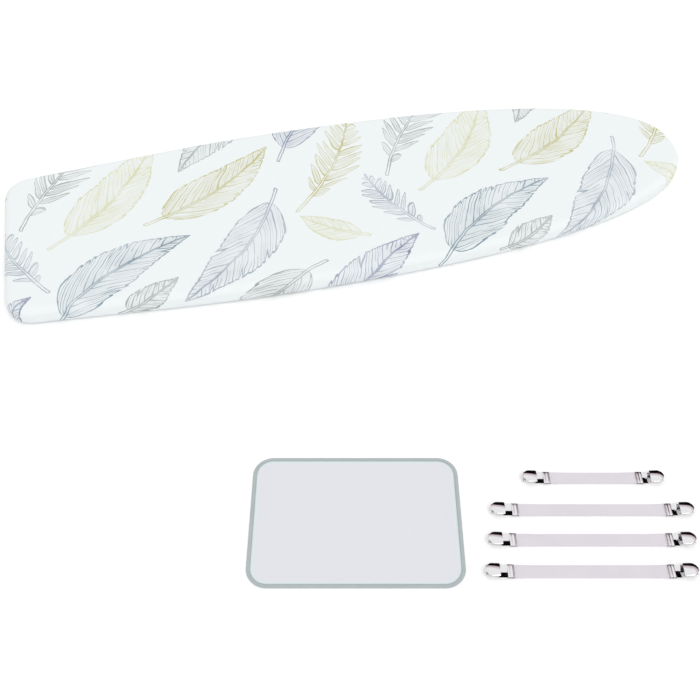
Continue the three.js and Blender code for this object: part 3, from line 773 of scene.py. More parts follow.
line_width = between(nodes, pressure, 0.3, 0.7, 0.0014, 0.0026)
inking, _ = mottle(nodes, cloth.outputs["Vector"], 14.0, 1.0)
density = between(nodes, inking, 0.35, 0.65, 0.6, 1.0)
wash_depth = between(nodes, inking, 0.35, 0.65, 0.07, 0.3)
colour = cotton_white
for seed, (drawing, ink, place, turn, length, half_width, bow, veins, sweep) in enumerate(motifs):
    motif = use_group(
        nodes,
        drawing,
        Cloth=drawn,
        Place=(*place, 0.0),
        Turn=math.radians(turn),
        Length=length,
        Half_Width=half_width,
        Bow=bow,
        Veins=veins,
        Sweep=sweep,
        Splits=leaf_splits,
        Seed=float(seed * 7),
        Line=line_width,
    )
    wash = tuple(
        (1 - wash_share) * white + wash_share * part for white, part in zip(cotton_white, ink)
    )
    colour = tinted(nodes, motif["Shape"], colour, wash)
    colour = tinted(nodes, calc(nodes, "MULTIPLY", motif["Depth"], wash_depth), colour, ink)
    colour = tinted(nodes, calc(nodes, "MULTIPLY", motif["Ink"], density), colour, ink)
nodes.links.new(colour, shader.inputs["Base Color"])
weave = use_group(nodes, woven_cloth, Place=cloth.outputs["Vector"], Thread=0.00045)
give_bump(nodes, shader, weave["Height"], 0.00006, 0.5)


def fit(piece, material, slot, body, *replaced):
    """Gives a piece its material and the body it goes with. The slot is not used."""
    piece.data.materials.clear()
    piece.data.materials.append(material)
    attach(piece, body)
    if replaced:
        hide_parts(*replaced)


fit(cover, printed_cotton, "printed_cotton", "cover", "cover_sheet")


# Felt pad: needled felt, 8 mm thick, cut to the deck's shape. It lies loose under the cover, and
# the cover's pull rounds its edge over.
pad_shrink = 0.0021
pad_top_rows = 6
pad_edge_rows = 8
felt_lump = 0.00018
pad_radii = (roll_width - pad_shrink, roll_height - pad_shrink)
pad_low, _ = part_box("felt_pad")
pad_cut_turn = 2 - math.asin((pad_low.z - edge_roll_z) / pad_radii[1]) / (math.pi / 2)
pad_edge = quarter_arc((roll_width, edge_roll_z), pad_radii, 1, pad_cut_turn, pad_edge_rows)


def pad_place(column, row):
    """A point of the felt: over its top, down its edge and back across its underside."""
    last_top = pad_top_rows + pad_edge_rows
    if pad_top_rows <= row <= last_top:
        inset, z = pad_edge[row - pad_top_rows]
        x, y = outline[column] - outward[column] * inset
        return Vector((x, y, z))
    inset, z = pad_edge[0] if row < pad_top_rows else pad_edge[-1]
    share = row / pad_top_rows if row < pad_top_rows else 1 - (row - last_top) / pad_top_rows
    edge = outline[column] - outward[column] * inset
    middle = np.array([min(max(edge[0], spine_low_x), spine_high_x), 0.0])
    x, y = middle + (edge - middle) * share
    lump = felt_lump * noise.noise(Vector((x * 60, y * 60, z * 100)))
    return Vector((x, y, z + abs(lump)))


pad = carried_round("needled_pad", outline_steps, 2 * pad_top_rows + pad_edge_rows, pad_place)
close_up(pad)
needled_felt, nodes, shader = new_material("needled felt", 1.0)
shader.inputs["Sheen Weight"].default_value = 0.3
shader.inputs["Specular IOR Level"].default_value = 0.1
felt_place = nodes.nodes.new("ShaderNodeTexCoord").outputs["Object"]
fibres, _ = mottle(nodes, vector_calc(nodes, "MULTIPLY", felt_place, (1.0, 0.35, 1.0)), 1400.0, 4.0)
clumps, _ = mottle(nodes, felt_place, 160.0, 5.0, 0.7)
needle_marks = nodes.nodes.new("ShaderNodeTexVoronoi")
needle_marks.inputs["Scale"].default_value = 420.0
nodes.links.new(felt_place, needle_marks.inputs["Vector"])
marks = between(nodes, needle_marks.outputs["Distance"], 0.0, 0.45)
felt_tone = tinted(nodes, clumps, screen_colour(222, 217, 204), screen_colour(238, 235, 226))
fibre_shade = between(nodes, fibres, 0.35, 0.7, 0.22, 0.0)
felt_tone = tinted(nodes, fibre_shade, felt_tone, screen_colour(196, 188, 172))
nodes.links.new(felt_tone, shader.inputs["Base Color"])
felt_height = calc(nodes, "ADD", calc(nodes, "MULTIPLY", marks, 0.6), fibres)
give_bump(nodes, shader, felt_height, 0.0004, 0.7)
fit(pad, needled_felt, "needled_felt", "cover", "felt_pad")


# Hem binding: cotton tape folded round the cover's cut edge and sewn through, so that its fold
# makes the tunnel for the elastic. It is drawn into the same folds as the hem.
tape_wall = 0.0005
hem_middle_z = hem_underside_z + cloth_thickness / 2
hem_tape_tip = 0.0292
hem_tape_spine = 0.0394
hem_tape_tip_half = 0.0009
hem_tape_swell_half = 0.0018
hem_tape_swell_share = 0.78


def folded_tape(tip, spine, tip_half, swell_half, swell_share, wall, leg_steps=5, fold_steps=8):
    """The closed section of a tape folded round an edge, as points of [inset, height]: two legs
    whose tips lie flat, and a swollen fold at the spine."""
    middle = tip + (spine - tip) * swell_share

    def side(shrink):
        legs = []
        for step in range(leg_steps):
            share = step / leg_steps
            rise = share * share * (3 - 2 * share)
            half = tip_half + (swell_half - tip_half) * rise - shrink
            legs.append((tip + (middle - tip) * share, half))
        reach = abs(spine - middle) - shrink
        direction = math.copysign(1, spine - middle)
        bend = []
        for step in range(fold_steps + 1):
            turn = math.pi * step / fold_steps
            height = -(swell_half - shrink) * math.cos(turn)
            bend.append((middle + direction * reach * math.sin(turn), height))
        lower = [(inset, -half) for inset, half in legs]
        return lower + bend + legs[::-1]

    return side(0.0) + side(wall)[::-1]


hem_section = folded_tape(
    hem_tape_tip,
    hem_tape_spine,
    hem_tape_tip_half,
    hem_tape_swell_half,
    hem_tape_swell_share,
    tape_wall,
)


def hem_point(column, inset, height):
    """A point on the gathered hem, at an inset from the cover's outer edge."""
    lift = gather_height * gathers(column)
    x, y = outline[column] - outward[column] * inset
    return Vector((x, y, hem_middle_z + height + lift))


hem_tape = carried_round(
    "hem_tape",
    outline_steps,
    len(hem_section),
    lambda column, row: hem_point(column, *hem_section[row % len(hem_section)]),
)
close_up(hem_tape)


def build_twill_tape():
    """Narrow twill: fine slanting ribs, with a little unevenness."""
    inputs = [("Place", (0.0, 0.0, 0.0)), ("Rib", 0.0006)]
    tree, given, made = new_group("twill tape", inputs, ["Height", "Tone"])
    split = tree.nodes.new("ShaderNodeSeparateXYZ")
    tree.links.new(given["Place"], split.inputs[0])
    slant = calc(tree, "ADD", split.outputs["X"], calc(tree, "MULTIPLY", split.outputs["Y"], 0.8))
    turns = calc(tree, "DIVIDE", calc(tree, "MULTIPLY", slant, 2 * math.pi), given["Rib"])
    rib = calc(tree, "SINE", turns)
    slub, _ = mottle(tree, given["Place"], 1500.0, 3.0)
    tree.links.new(calc(tree, "ADD", calc(tree, "MULTIPLY", rib, 0.5), slub), made["Height"])
    tone, _ = mottle(tree, given["Place"], 90.0, 4.0)
    tree.links.new(tone, made["Tone"])
    return tree


def tape_material(name, pale, dark):
    """Folded cotton tape in one colour."""
    material, tree, tape_shader = new_material(name, 0.85)
    tape_shader.inputs["Specular IOR Level"].default_value = 0.2
    tape_shader.inputs["Sheen Weight"].default_value = 0.15
    place = tree.nodes.new("ShaderNodeTexCoord").outputs["Object"]
    twill = use_group(tree, twill_tape, Place=place)
    tree.links.new(tinted(tree, twill["Tone"], dark, pale), tape_shader.inputs["Base Color"])
    give_bump(tree, tape_shader, twill["Height"], 0.00012, 0.6)
    return material


twill_tape = build_twill_tape()
cotton_tape = tape_material("cotton tape", screen_colour(240, 242, 242), screen_colour(224, 228, 229))
fit(hem_tape, cotton_tape, "cotton_tape", "cover", "hem_binding")


# Hem stitching: one row of white lockstitch along the tape's open side, on the face that looks
# down, which holds tape and cover together.
def place_along(line, walked, distance):
    """The point at a distance along a closed line."""
    distance %= walked[-1]
    return np.array([np.interp(distance, walked, line[:, axis]) for axis in range(3)])


def sewn_row(name, line, pitch, length, radius):
    """A row of stitches along a closed line of points. One stitch is modelled, and copied."""
    bpy.ops.object.select_all(action="DESELECT")
    bpy.ops.mesh.primitive_uv_sphere_add(segments=6, ring_count=4, radius=0.5)
    stitch = bpy.context.object
    stitch.scale = (2 * radius, 2 * radius, length)
    stitch.rotation_euler = (0, math.pi / 2, 0)
    bpy.ops.object.transform_apply(location=False, rotation=True, scale=True)
    shape = np.array([vertex.co for vertex in stitch.data.vertices])
    loops = [tuple(face.vertices) for face in stitch.data.polygons]
    bpy.data.objects.remove(stitch)
    closed = np.concatenate([line, line[:1]])
    walked = np.concatenate([[0], np.cumsum(np.linalg.norm(np.diff(closed, axis=0), axis=1))])
    count = int(walked[-1] / pitch)
    points, faces = [], []
    for number in range(count):
        middle = number * walked[-1] / count
        start, end = (
            place_along(closed, walked, middle + step) for step in (-length / 2, length / 2)
        )
        along = (end - start) / np.linalg.norm(end - start)
        aside = np.array([-along[1], along[0], 0.0])
        turned = np.outer(shape[:, 0], along) + np.outer(shape[:, 1], aside)
        turned[:, 2] += shape[:, 2]
        faces += [tuple(index + len(points) for index in loop) for loop in loops]
        points += list((start + end) / 2 + turned)
    mesh = bpy.data.meshes.new(name)
    mesh.from_pydata([tuple(point) for point in points], [], faces)
    row = bpy.data.objects.new(name, mesh)
    bpy.context.scene.collection.objects.link(row)
    bpy.ops.object.select_all(action="DESELECT")
    bpy.context.view_layer.objects.active = row
    row.select_set(True)
    bpy.ops.object.shade_smooth()
    return row


def thread_material(name, colour):
    """Spun sewing thread, with its twist."""
    material, tree, thread_shader = new_material(name, 0.7)
    thread_shader.inputs["Sheen Weight"].default_value = 0.2
    place = tree.nodes.new("ShaderNodeTexCoord").outputs["Object"]
    twist, _ = mottle(tree, place, 2600.0, 2.0)
    darker = tuple(0.8 * part for part in colour[:3]) + (1.0,)
    tree.links.new(tinted(tree, twist, darker, colour), thread_shader.inputs["Base Color"])
    give_bump(tree, thread_shader, twist, 0.00008, 0.6)
    return material


stitch_pitch = 0.003
stitch_length = 0.0024
thread_radius = 0.00022
hem_stitch_inset = 0.0308
hem_stitch_line = np.array(
    [hem_point(column, hem_stitch_inset, -hem_tape_tip_half) for column in range(outline_steps)]
)
hem_stitches = sewn_row("hem_stitches", hem_stitch_line, stitch_pitch, stitch_length, thread_radius)
white_thread = thread_material("white thread", screen_colour(238, 239, 238))
fit(hem_stitches, white_thread, "cotton_tape", "cover")


# Hem elastic: a round braided cord, 2 mm thick, that runs all the way round inside the fold of
# the binding and draws the hem in under the deck.
cord_inset = 0.0373
cord_radius = 0.00095
cord_sides = 10


def cord_place(column, row):
    """A point of the cord inside the tape's fold."""
    turn = 2 * math.pi * row / cord_sides
    return hem_point(column, cord_inset - cord_radius * math.cos(turn), cord_radius * math.sin(turn))


hem_cord = carried_round("hem_cord", outline_steps, cord_sides, cord_place)
close_up(hem_cord)
elastic_cord, nodes, shader = new_material("elastic cord", 0.7)
cord_coordinates = nodes.nodes.new("ShaderNodeTexCoord").outputs["Object"]
braid = use_group(nodes, woven_cloth, Place=cord_coordinates, Thread=0.0006)
cord_tone = tinted(nodes, braid["Tone"], screen_colour(222, 222, 219), screen_colour(242, 242, 240))
nodes.links.new(cord_tone, shader.inputs["Base Color"])
give_bump(nodes, shader, braid["Height"], 0.0001, 0.6)
fit(hem_cord, elastic_cord, "elastic_cord", "cover", "hem_elastic")


# Pressing cloth: a panel of fine, close net with round corners, laid between the iron and the
# garment. Here it lies on the floor, with the slight ripples of light cloth.
lay_turn = math.radians(-13.3)
net_length = 0.285
net_width = 0.197
net_corner_radius = 0.028
net_thickness = 0.00045
net_edge_inset = 0.0011
net_tape_middle = 0.00098
net_steps = 420
net_middle_rows = 20
net_settle_reach = 0.03
net_low_z = 0.0007
net_ripple = 0.00045
net_least_z = 0.00028
net_insets = [0.014, 0.012, 0.010, 0.0085, 0.0072, 0.006, 0.0048, 0.003, net_edge_inset]


def laid_place(node):
    """Where a loose piece lies: turned, on the floor, with its middle where its node's is."""
    low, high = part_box(node)
    middle = (low + high) / 2
    middle.z = floor_z
    return Matrix.Translation(middle) @ Matrix.Rotation(lay_turn, 4, "Z")


def far_half_of_rectangle(length, width, radius):
    """Close points round half of a rectangle with round corners, from the middle of one end to
    the middle of the other."""
    points = [(length / 2, 0.0)]
    for sign, first_turn in ((1, 0.0), (-1, math.pi / 2)):
        for turn in np.linspace(first_turn, first_turn + math.pi / 2, 60):
            x = sign * (length / 2 - radius) + radius * math.cos(turn)
            points.append((x, width / 2 - radius + radius * math.sin(turn)))
    points.append((-length / 2, 0.0))
    return np.array(points)


net_outline, net_outward, _ = even_outline(
    far_half_of_rectangle(net_length, net_width, net_corner_radius), net_steps
)
net_lay = laid_place("press_cloth")
net_spine = (net_length - net_width) / 2


def net_place(column, row):
    """A point of the net on its own middle and turn: its place, and how far it is inside."""
    edge = net_outline[column] - net_outward[column] * net_insets[0]
    if row < net_middle_rows:
        middle = np.array([min(max(edge[0], -net_spine), net_spine), 0.0])
        share = row / net_middle_rows
        x, y = middle + (edge - middle) * share
        inset = net_insets[0] + (1 - share) * (net_width / 2 - net_insets[0])
    else:
        inset = net_insets[row - net_middle_rows]
        x, y = net_outline[column] - net_outward[column] * inset
    settled = min(1.0, max(0.0, (inset - net_edge_inset) / net_settle_reach))
    settled = settled * settled * (3 - 2 * settled)
    broad = noise.noise(Vector((x * 17, y * 23, 1.0)))
    fine = noise.noise(Vector((x * 45, y * 38, 7.0)))
    low_z = net_low_z + net_ripple * (broad + 0.4 * fine)
    return x, y, net_tape_middle + (max(low_z, net_least_z) - net_tape_middle) * settled, inset


net_rows = net_middle_rows + len(net_insets) - 1
net_cloth = carried_round(
    "net_cloth",
    net_steps,
    net_rows,
    lambda column, row: net_lay @ Vector(net_place(column, row)[:3]),
)
on_cloth = net_cloth.data.attributes.new("on_cloth", "FLOAT_VECTOR", "POINT")
for index in range(len(net_cloth.data.vertices)):
    row, column = divmod(index, net_steps + 1)
    x, y, _, inset = net_place(column % net_steps, row)
    on_cloth.data[index].vector = (x, y, inset)
close_up(net_cloth)
add_wall(net_cloth, net_thickness, 0)
netted_cloth, nodes, shader = new_material("netted cloth", 0.8)
shader.inputs["Specular IOR Level"].default_value = 0.25
shader.inputs["Sheen Weight"].default_value = 0.15
cloth = nodes.nodes.new("ShaderNodeAttribute")
cloth.attribute_name = "on_cloth"
net_split = nodes.nodes.new("ShaderNodeSeparateXYZ")
nodes.links.new(cloth.outputs["Vector"], net_split.inputs[0])
mesh_pitch = 0.0011
waves = []
for turn in (0.0, 60.0, 120.0):
    across = calc(nodes, "MULTIPLY", net_split.outputs["X"], math.cos(math.radians(turn)))
    up = calc(nodes, "MULTIPLY", net_split.outputs["Y"], math.sin(math.radians(turn)))
    reach = calc(nodes, "MULTIPLY", calc(nodes, "ADD", across, up), 2 * math.pi / mesh_pitch)
    waves.append(calc(nodes, "COSINE", reach))
lattice = calc(nodes, "ADD", calc(nodes, "ADD", waves[0], waves[1]), waves[2])
holes = between(nodes, lattice, 0.4, 2.2)
net_tone, _ = mottle(nodes, cloth.outputs["Vector"], 30.0, 4.0)
net_colour = tinted(nodes, net_tone, screen_colour(229, 230, 236), screen_colour(232, 233, 238))
# A paler, bluer band is coloured in just inside the binding.
inner_edge_band = between(nodes, net_split.outputs["Z"], 0.0082, 0.0104, 1.0, 0.0)
inner_edge_share = calc(nodes, "MULTIPLY", inner_edge_band, 0.85)
net_colour = tinted(nodes, inner_edge_share, net_colour, screen_colour(225, 236, 237))
# Painted shade: the net's holes are coloured a darker lilac grey, for the shaded floor that would show
# through them.
painted_hole_shade = calc(nodes, "MULTIPLY", holes, 0.35)
net_colour = tinted(nodes, painted_hole_shade, net_colour, screen_colour(196, 197, 206))
nodes.links.new(net_colour, shader.inputs["Base Color"])
give_bump(nodes, shader, calc(nodes, "SUBTRACT", 1.0, holes), 0.00015, 0.5)
fit(net_cloth, netted_cloth, "netted_cloth", "pressing_cloth", "press_cloth")


# Pressing cloth's binding: the same kind of tape in green-grey, folded round the net's edge and
# sewn through near its open side with thread of nearly its own colour.
net_tape_width = 0.0056
net_tape_wall = 0.0004
net_tape_tip_half = 0.00075
net_tape_swell_half = 0.00094
net_tape_swell_share = 0.72
net_tape_ease = 0.00004
net_tape_section = folded_tape(
    net_tape_width,
    0.0,
    net_tape_tip_half,
    net_tape_swell_half,
    net_tape_swell_share,
    net_tape_wall,
)


def net_tape_point(column, inset, height):
    """A point on the net's edge, at an inset from it."""
    x, y = net_outline[column] - net_outward[column] * inset
    ease = net_tape_ease * noise.noise(Vector((x * 60, y * 60, 2.0)))
    return net_lay @ Vector((x, y, net_tape_middle + height + ease))


net_tape = carried_round(
    "net_cloth_tape",
    net_steps,
    len(net_tape_section),
    lambda column, row: net_tape_point(column, *net_tape_section[row % len(net_tape_section)]),
)
close_up(net_tape)
green_grey_tape = tape_material(
    "green-grey tape", screen_colour(190, 198, 199), screen_colour(174, 184, 185)
)
fit(net_tape, green_grey_tape, "green_grey_tape", "pressing_cloth", "press_cloth_binding")
net_stitch_inset = 0.0046
net_stitch_height = 0.00078
net_stitch_pitch = 0.0027
net_stitch_length = 0.0021
net_stitch_line = np.array(
    [net_tape_point(column, net_stitch_inset, net_stitch_height) for column in range(net_steps)]
)
net_stitches = sewn_row(
    "net_cloth_stitches", net_stitch_line, net_stitch_pitch, net_stitch_length, thread_radius
)
grey_thread = thread_material("grey thread", screen_colour(176, 186, 188))
fit(net_stitches, grey_thread, "green_grey_tape", "pressing_cloth")


# Strap bands: woven elastic, 18 mm wide, with ribs along it. The ends go into the clips' sleeves,
# and the band between sags down on to the floor.
clip_length = 0.038
band_tuck = 0.0070
band_width = 0.018
band_thickness = 0.0011
band_ribs = 13
rib_steps = 5
rib_height = 0.00013
band_sag_reach = 0.03
band_wave = 0.00022
band_floor_gap = 0.00025
band_edge_round = 0.00016
pick_pitch = 0.0009
sleeve_middle = 0.0017
strap_lengths = {
    "short_strap": 0.196,
    "long_strap_1": 0.275,
    "long_strap_2": 0.275,
    "long_strap_3": 0.275,
}
band_columns = 90
band_rows = band_ribs * rib_steps


def sleeve_mouth_of(strap):
    """Half the length of band that shows."""
    return strap_lengths[strap] / 2 - clip_length


elastic_webbing, nodes, shader = new_material("elastic webbing", 0.75)
shader.inputs["Specular IOR Level"].default_value = 0.25
shader.inputs["Sheen Weight"].default_value = 0.2
cloth = nodes.nodes.new("ShaderNodeAttribute")
cloth.attribute_name = "on_cloth"
band_split = nodes.nodes.new("ShaderNodeSeparateXYZ")
nodes.links.new(cloth.outputs["Vector"], band_split.inputs[0])
pick_turns = calc(nodes, "MULTIPLY", band_split.outputs["X"], 2 * math.pi / pick_pitch)
picks = calc(nodes, "SINE", pick_turns)
rib_turns = calc(nodes, "MULTIPLY", band_split.outputs["Y"], 2 * math.pi * band_ribs / band_width)
# Painted shade: the webbing's colour is darkened in narrow stripes, one to each rib.
rib_shade_stripes = between(nodes, calc(nodes, "COSINE", rib_turns), 0.2, 1.0)
yarn, _ = mottle(nodes, cloth.outputs["Vector"], 700.0, 3.0)
band_tone, _ = mottle(nodes, cloth.outputs["Vector"], 26.0, 3.0)
band_colour = tinted(nodes, band_tone, screen_colour(222, 218, 226), screen_colour(234, 229, 233))
painted_rib_shade = calc(nodes, "MULTIPLY", rib_shade_stripes, 0.28)
band_colour = tinted(nodes, painted_rib_shade, band_colour, screen_colour(176, 171, 182))
nodes.links.new(band_colour, shader.inputs["Base Color"])
band_relief = calc(nodes, "ADD", calc(nodes, "MULTIPLY", picks, 0.5), yarn)
give_bump(nodes, shader, band_relief, 0.00012, 0.6)

for number, strap in enumerate(strap_lengths):
    strap_lay = laid_place(strap + "_band")
    mouth = sleeve_mouth_of(strap)
    half_band = mouth + band_tuck

    def band_place(along, across):
        """A point of the band's upper face on its strap's own middle and turn."""
        from_mouth = max(0.0, mouth - abs(along))
        share = min(1.0, from_mouth / band_sag_reach)
        settled = share * share * (3 - 2 * share)
        wave = band_wave * noise.noise(Vector((along * 22, number * 3.7, 0.5)))
        low_middle = band_thickness / 2 + band_floor_gap + wave
        middle = sleeve_middle + (low_middle - sleeve_middle) * settled
        rib = abs(math.sin(math.pi * band_ribs * (across / band_width + 0.5)))
        edge_share = abs(across) / (band_width / 2)
        round_edge = band_edge_round * edge_share ** 12
        z = middle + band_thickness / 2 - rib_height * (1 - rib) - round_edge
        return strap_lay @ Vector((along, across, z))

    bpy.ops.object.select_all(action="DESELECT")
    bpy.ops.mesh.primitive_grid_add(x_subdivisions=band_columns, y_subdivisions=band_rows, size=1)
    band = bpy.context.object
    band.name = strap + "_webbing"
    on_cloth = band.data.attributes.new("on_cloth", "FLOAT_VECTOR", "POINT")
    for vertex, entry in zip(band.data.vertices, on_cloth.data):
        along = vertex.co.x * 2 * half_band
        across = vertex.co.y * band_width
        entry.vector = (along, across, number * 0.1)
        vertex.co = band_place(along, across)
    bpy.ops.object.shade_smooth()
    add_wall(band, band_thickness - 2 * rib_height)
    bpy.ops.object.shade_smooth_by_angle(angle=math.radians(50))
    band.data.materials.clear()
    band.data.materials.append(elastic_webbing)
    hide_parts(strap + "_band")
    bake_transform(band)


# Clip bases: stamped and folded from one strip of steel and nickel plated. The sleeve is crimped
# on the band's end, the neck behind it is dished, and the tray has two ears for the lever's pin.
def clip_place(strap, side):
    """Where a clip's own frame lies: its sleeve's mouth, its jaws pointing outwards."""
    sign = 1 if side == "right" else -1
    mouth = Matrix.Translation((sign * sleeve_mouth_of(strap), 0, 0))
    turn = Matrix.Rotation(0 if sign > 0 else math.pi, 4, "Z")
    return laid_place(strap + "_band") @ mouth @ turn


def clip_copy(node, name):
    """A copy of one clip's piece of the frame, in the clip's own frame, its faces joined."""
    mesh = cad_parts[node].data.copy()
    mesh.transform(clip_place("short_strap", "right").inverted())
    piece = bpy.data.objects.new(name, mesh)
    bpy.context.scene.collection.objects.link(piece)
    bpy.ops.object.select_all(action="DESELECT")
    bpy.context.view_layer.objects.active = piece
    piece.select_set(True)
    bpy.ops.object.mode_set(mode="EDIT")
    bpy.ops.mesh.select_all(action="SELECT")
    bpy.ops.mesh.remove_doubles(threshold=0.000002)
    bpy.ops.mesh.dissolve_limited(angle_limit=math.radians(1))
    bpy.ops.object.mode_set(mode="OBJECT")
    return piece


def choose(piece, kind, test):
    """Selects the vertices, edges or faces of a piece whose middle passes a test, in edit mode."""
    bpy.ops.object.mode_set(mode="OBJECT")
    mesh = piece.data
    for part in (*mesh.vertices, *mesh.edges, *mesh.polygons):
        part.select = False
    if kind == "FACE":
        for face in mesh.polygons:
            face.select = test(face.center, face.normal)
    elif kind == "EDGE":
        for edge in mesh.edges:
            start, end = (mesh.vertices[index].co for index in edge.vertices)
            edge.select = test((start + end) / 2, (end - start).normalized())
    else:
        for vertex in mesh.vertices:
            vertex.select = test(vertex.co)
    # The kind is set before edit mode. In vertex mode, every edge between chosen ends would
    # be chosen as well.
    kinds = ("VERT", "EDGE", "FACE")
    bpy.context.tool_settings.mesh_select_mode = [kind == each for each in kinds]
    bpy.ops.object.mode_set(mode="EDIT")


def join_by_boolean(piece, other, operation):
    """Unites a piece with another, or cuts the other out of it, and removes the other."""
    boolean = piece.modifiers.new("join", "BOOLEAN")
    boolean.operation = operation
    boolean.solver = "EXACT"
    boolean.object = other
    bpy.ops.object.select_all(action="DESELECT")
    bpy.context.view_layer.objects.active = piece
    piece.select_set(True)
    bpy.ops.object.modifier_apply(modifier=boolean.name)
    bpy.data.objects.remove(other)


def soften_edges(piece, width, segments=2, angle=30):
    """Rounds the sharp edges of a piece a little, as stamping and plating leave them."""
    bpy.ops.object.select_all(action="DESELECT")
    bpy.context.view_layer.objects.active = piece
    piece.select_set(True)
    bevel = piece.modifiers.new("softened edges", "BEVEL")
    bevel.width = width
    bevel.segments = segments
    bevel.limit_method = "ANGLE"
    bevel.angle_limit = math.radians(angle)
    bpy.ops.object.modifier_apply(modifier=bevel.name)
    bpy.ops.object.shade_smooth_by_angle(angle=math.radians(32))


def block(low, high):
    """A box between two corners, to be shaped further."""
    low, high = Vector(low), Vector(high)
    bpy.ops.object.select_all(action="DESELECT")
    bpy.ops.mesh.primitive_cube_add(size=1, location=(low + high) / 2)
    piece = bpy.context.object
    piece.scale = high - low
    bpy.ops.object.transform_apply(location=True, rotation=True, scale=True)
    return piece


def rod(radius, low_y, high_y, x, z, sides=32):
    """A round bar along Y, to be shaped further."""
    bpy.ops.object.select_all(action="DESELECT")
    bpy.ops.mesh.primitive_cylinder_add(
        vertices=sides,
        radius=radius,
        depth=high_y - low_y,
        location=(x, (low_y + high_y) / 2, z),
        rotation=(math.pi / 2, 0, 0),
    )
    piece = bpy.context.object
    bpy.ops.object.transform_apply(location=True, rotation=True, scale=True)
    return piece


plate_wall = 0.0008
sleeve_length = 0.0084
sleeve_half = 0.0101
sleeve_height = 0.0034
sleeve_edge_radius = 0.0015
sleeve_crown_drop = 0.0007
sleeve_crown_steps = 16
sleeve_cavity_depth = 0.0076
crimp_shares = (0.14, 0.6)
crimp_floor_half = 0.0003
crimp_shoulder = 0.0009
crimp_depths = (0.0004, 0.0002)
neck_half = 0.009
neck_floor_half = 0.001
neck_edge_z = 0.0026
neck_slope = math.atan((neck_edge_z - plate_wall) / (neck_half - neck_floor_half))
neck_cut_gap = 0.00005
neck_overlap = 0.0001
neck_cut_x = sleeve_length + neck_cut_gap
sleeve_end_x = neck_cut_x + neck_overlap
steel_softness = 0.00014

sleeve = block((0, -sleeve_half, 0), (sleeve_end_x, sleeve_half, sleeve_height))
choose(sleeve, "EDGE", lambda middle, along: abs(along.x) > 0.9)
bpy.ops.mesh.bevel(offset=sleeve_edge_radius, segments=5)
for step in range(1, sleeve_crown_steps):
    bpy.ops.mesh.select_all(action="SELECT")
    cut_y = sleeve_half * (2 * step / sleeve_crown_steps - 1)
    bpy.ops.mesh.bisect(plane_co=(0, cut_y, 0), plane_no=(0, 1, 0))
for share in crimp_shares:
    for offset in (-crimp_shoulder, -crimp_floor_half, crimp_floor_half, crimp_shoulder):
        bpy.ops.mesh.select_all(action="SELECT")
        cut_x = share * sleeve_length + offset
        bpy.ops.mesh.bisect(plane_co=(cut_x, 0, 0), plane_no=(1, 0, 0))
bpy.ops.object.mode_set(mode="OBJECT")
for vertex in sleeve.data.vertices:
    drop = sleeve_crown_drop * (abs(vertex.co.y) / sleeve_half) ** 4
    vertex.co.z *= 1 - drop / sleeve_height
for share, crimp_depth in zip(crimp_shares, crimp_depths):
    middle_x = share * sleeve_length
    crimp_half = (crimp_floor_half + crimp_shoulder) / 2
    choose(sleeve, "VERT", lambda co: abs(co.x - middle_x) < crimp_half)
    half_height = sleeve_height / 2
    bpy.ops.transform.resize(
        value=(1, 1 - crimp_depth / sleeve_half, 1 - crimp_depth / half_height),
        center_override=(middle_x, 0, half_height),
    )
choose(sleeve, "FACE", lambda centre, normal: normal.x < -0.9)
bpy.ops.mesh.inset(thickness=plate_wall, depth=0)
bpy.ops.mesh.extrude_region_move(TRANSFORM_OT_translate={"value": (sleeve_cavity_depth, 0, 0)})
bpy.ops.object.mode_set(mode="OBJECT")

# The source's own sleeve is cut away just behind its end wall, and the one above takes its place
# before the neck and tray. The fine threshold keeps the cut off that wall.
base = clip_copy("short_strap_right_base", "clip_base")
bpy.ops.object.mode_set(mode="EDIT")
bpy.ops.mesh.select_all(action="SELECT")
bpy.ops.mesh.bisect(
    plane_co=(neck_cut_x, 0, 0),
    plane_no=(1, 0, 0),
    threshold=merge_distance,
    clear_inner=True,
    use_fill=True,
)
bpy.ops.object.mode_set(mode="OBJECT")
join_by_boolean(base, sleeve, "UNION")
soften_edges(base, steel_softness)
for face in base.data.polygons:
    slope_share = abs(face.normal.y) / math.sin(neck_slope)
    if face.center.x > sleeve_length and abs(slope_share - 1) < 0.1:
        face.use_smooth = False

plated_steel, nodes, shader = new_material("bright nickel plate", 0.12)
shader.inputs["Metallic"].default_value = 1.0
steel_place = nodes.nodes.new("ShaderNodeTexCoord").outputs["Object"]
haze, _ = mottle(nodes, steel_place, 160.0, 4.0, 0.6)
wear, _ = mottle(nodes, steel_place, 900.0, 3.0)
steel_colour = tinted(nodes, haze, screen_colour(226, 224, 226), screen_colour(238, 238, 240))
nodes.links.new(steel_colour, shader.inputs["Base Color"])
worn_haze = calc(nodes, "MULTIPLY_ADD", wear, 0.4, haze)
steel_roughness = between(nodes, worn_haze, 0.5, 1.0, 0.04, 0.12)
nodes.links.new(steel_roughness, shader.inputs["Roughness"])
give_bump(nodes, shader, haze, 0.00012, 0.35)


def fit_clips(model, part, material, slot):
    """Puts a copy of a clip's piece on every clip, with the body that it moves with."""
    for strap in strap_lengths:
        for side in ("left", "right"):
            clip = strap + "_" + side
            mesh = model.data.copy()
            mesh.transform(clip_place(strap, side))
            piece = bpy.data.objects.new(clip + "_clip_" + part, mesh)
            bpy.context.scene.collection.objects.link(piece)
            body = strap if side == "left" else strap + "_end"
            if part == "lever":
                body = clip + "_lever"
            fit(piece, material, slot, body, clip + "_" + part)
    bpy.data.objects.remove(model)


fit_clips(base, "base", plated_steel, "plated_steel")


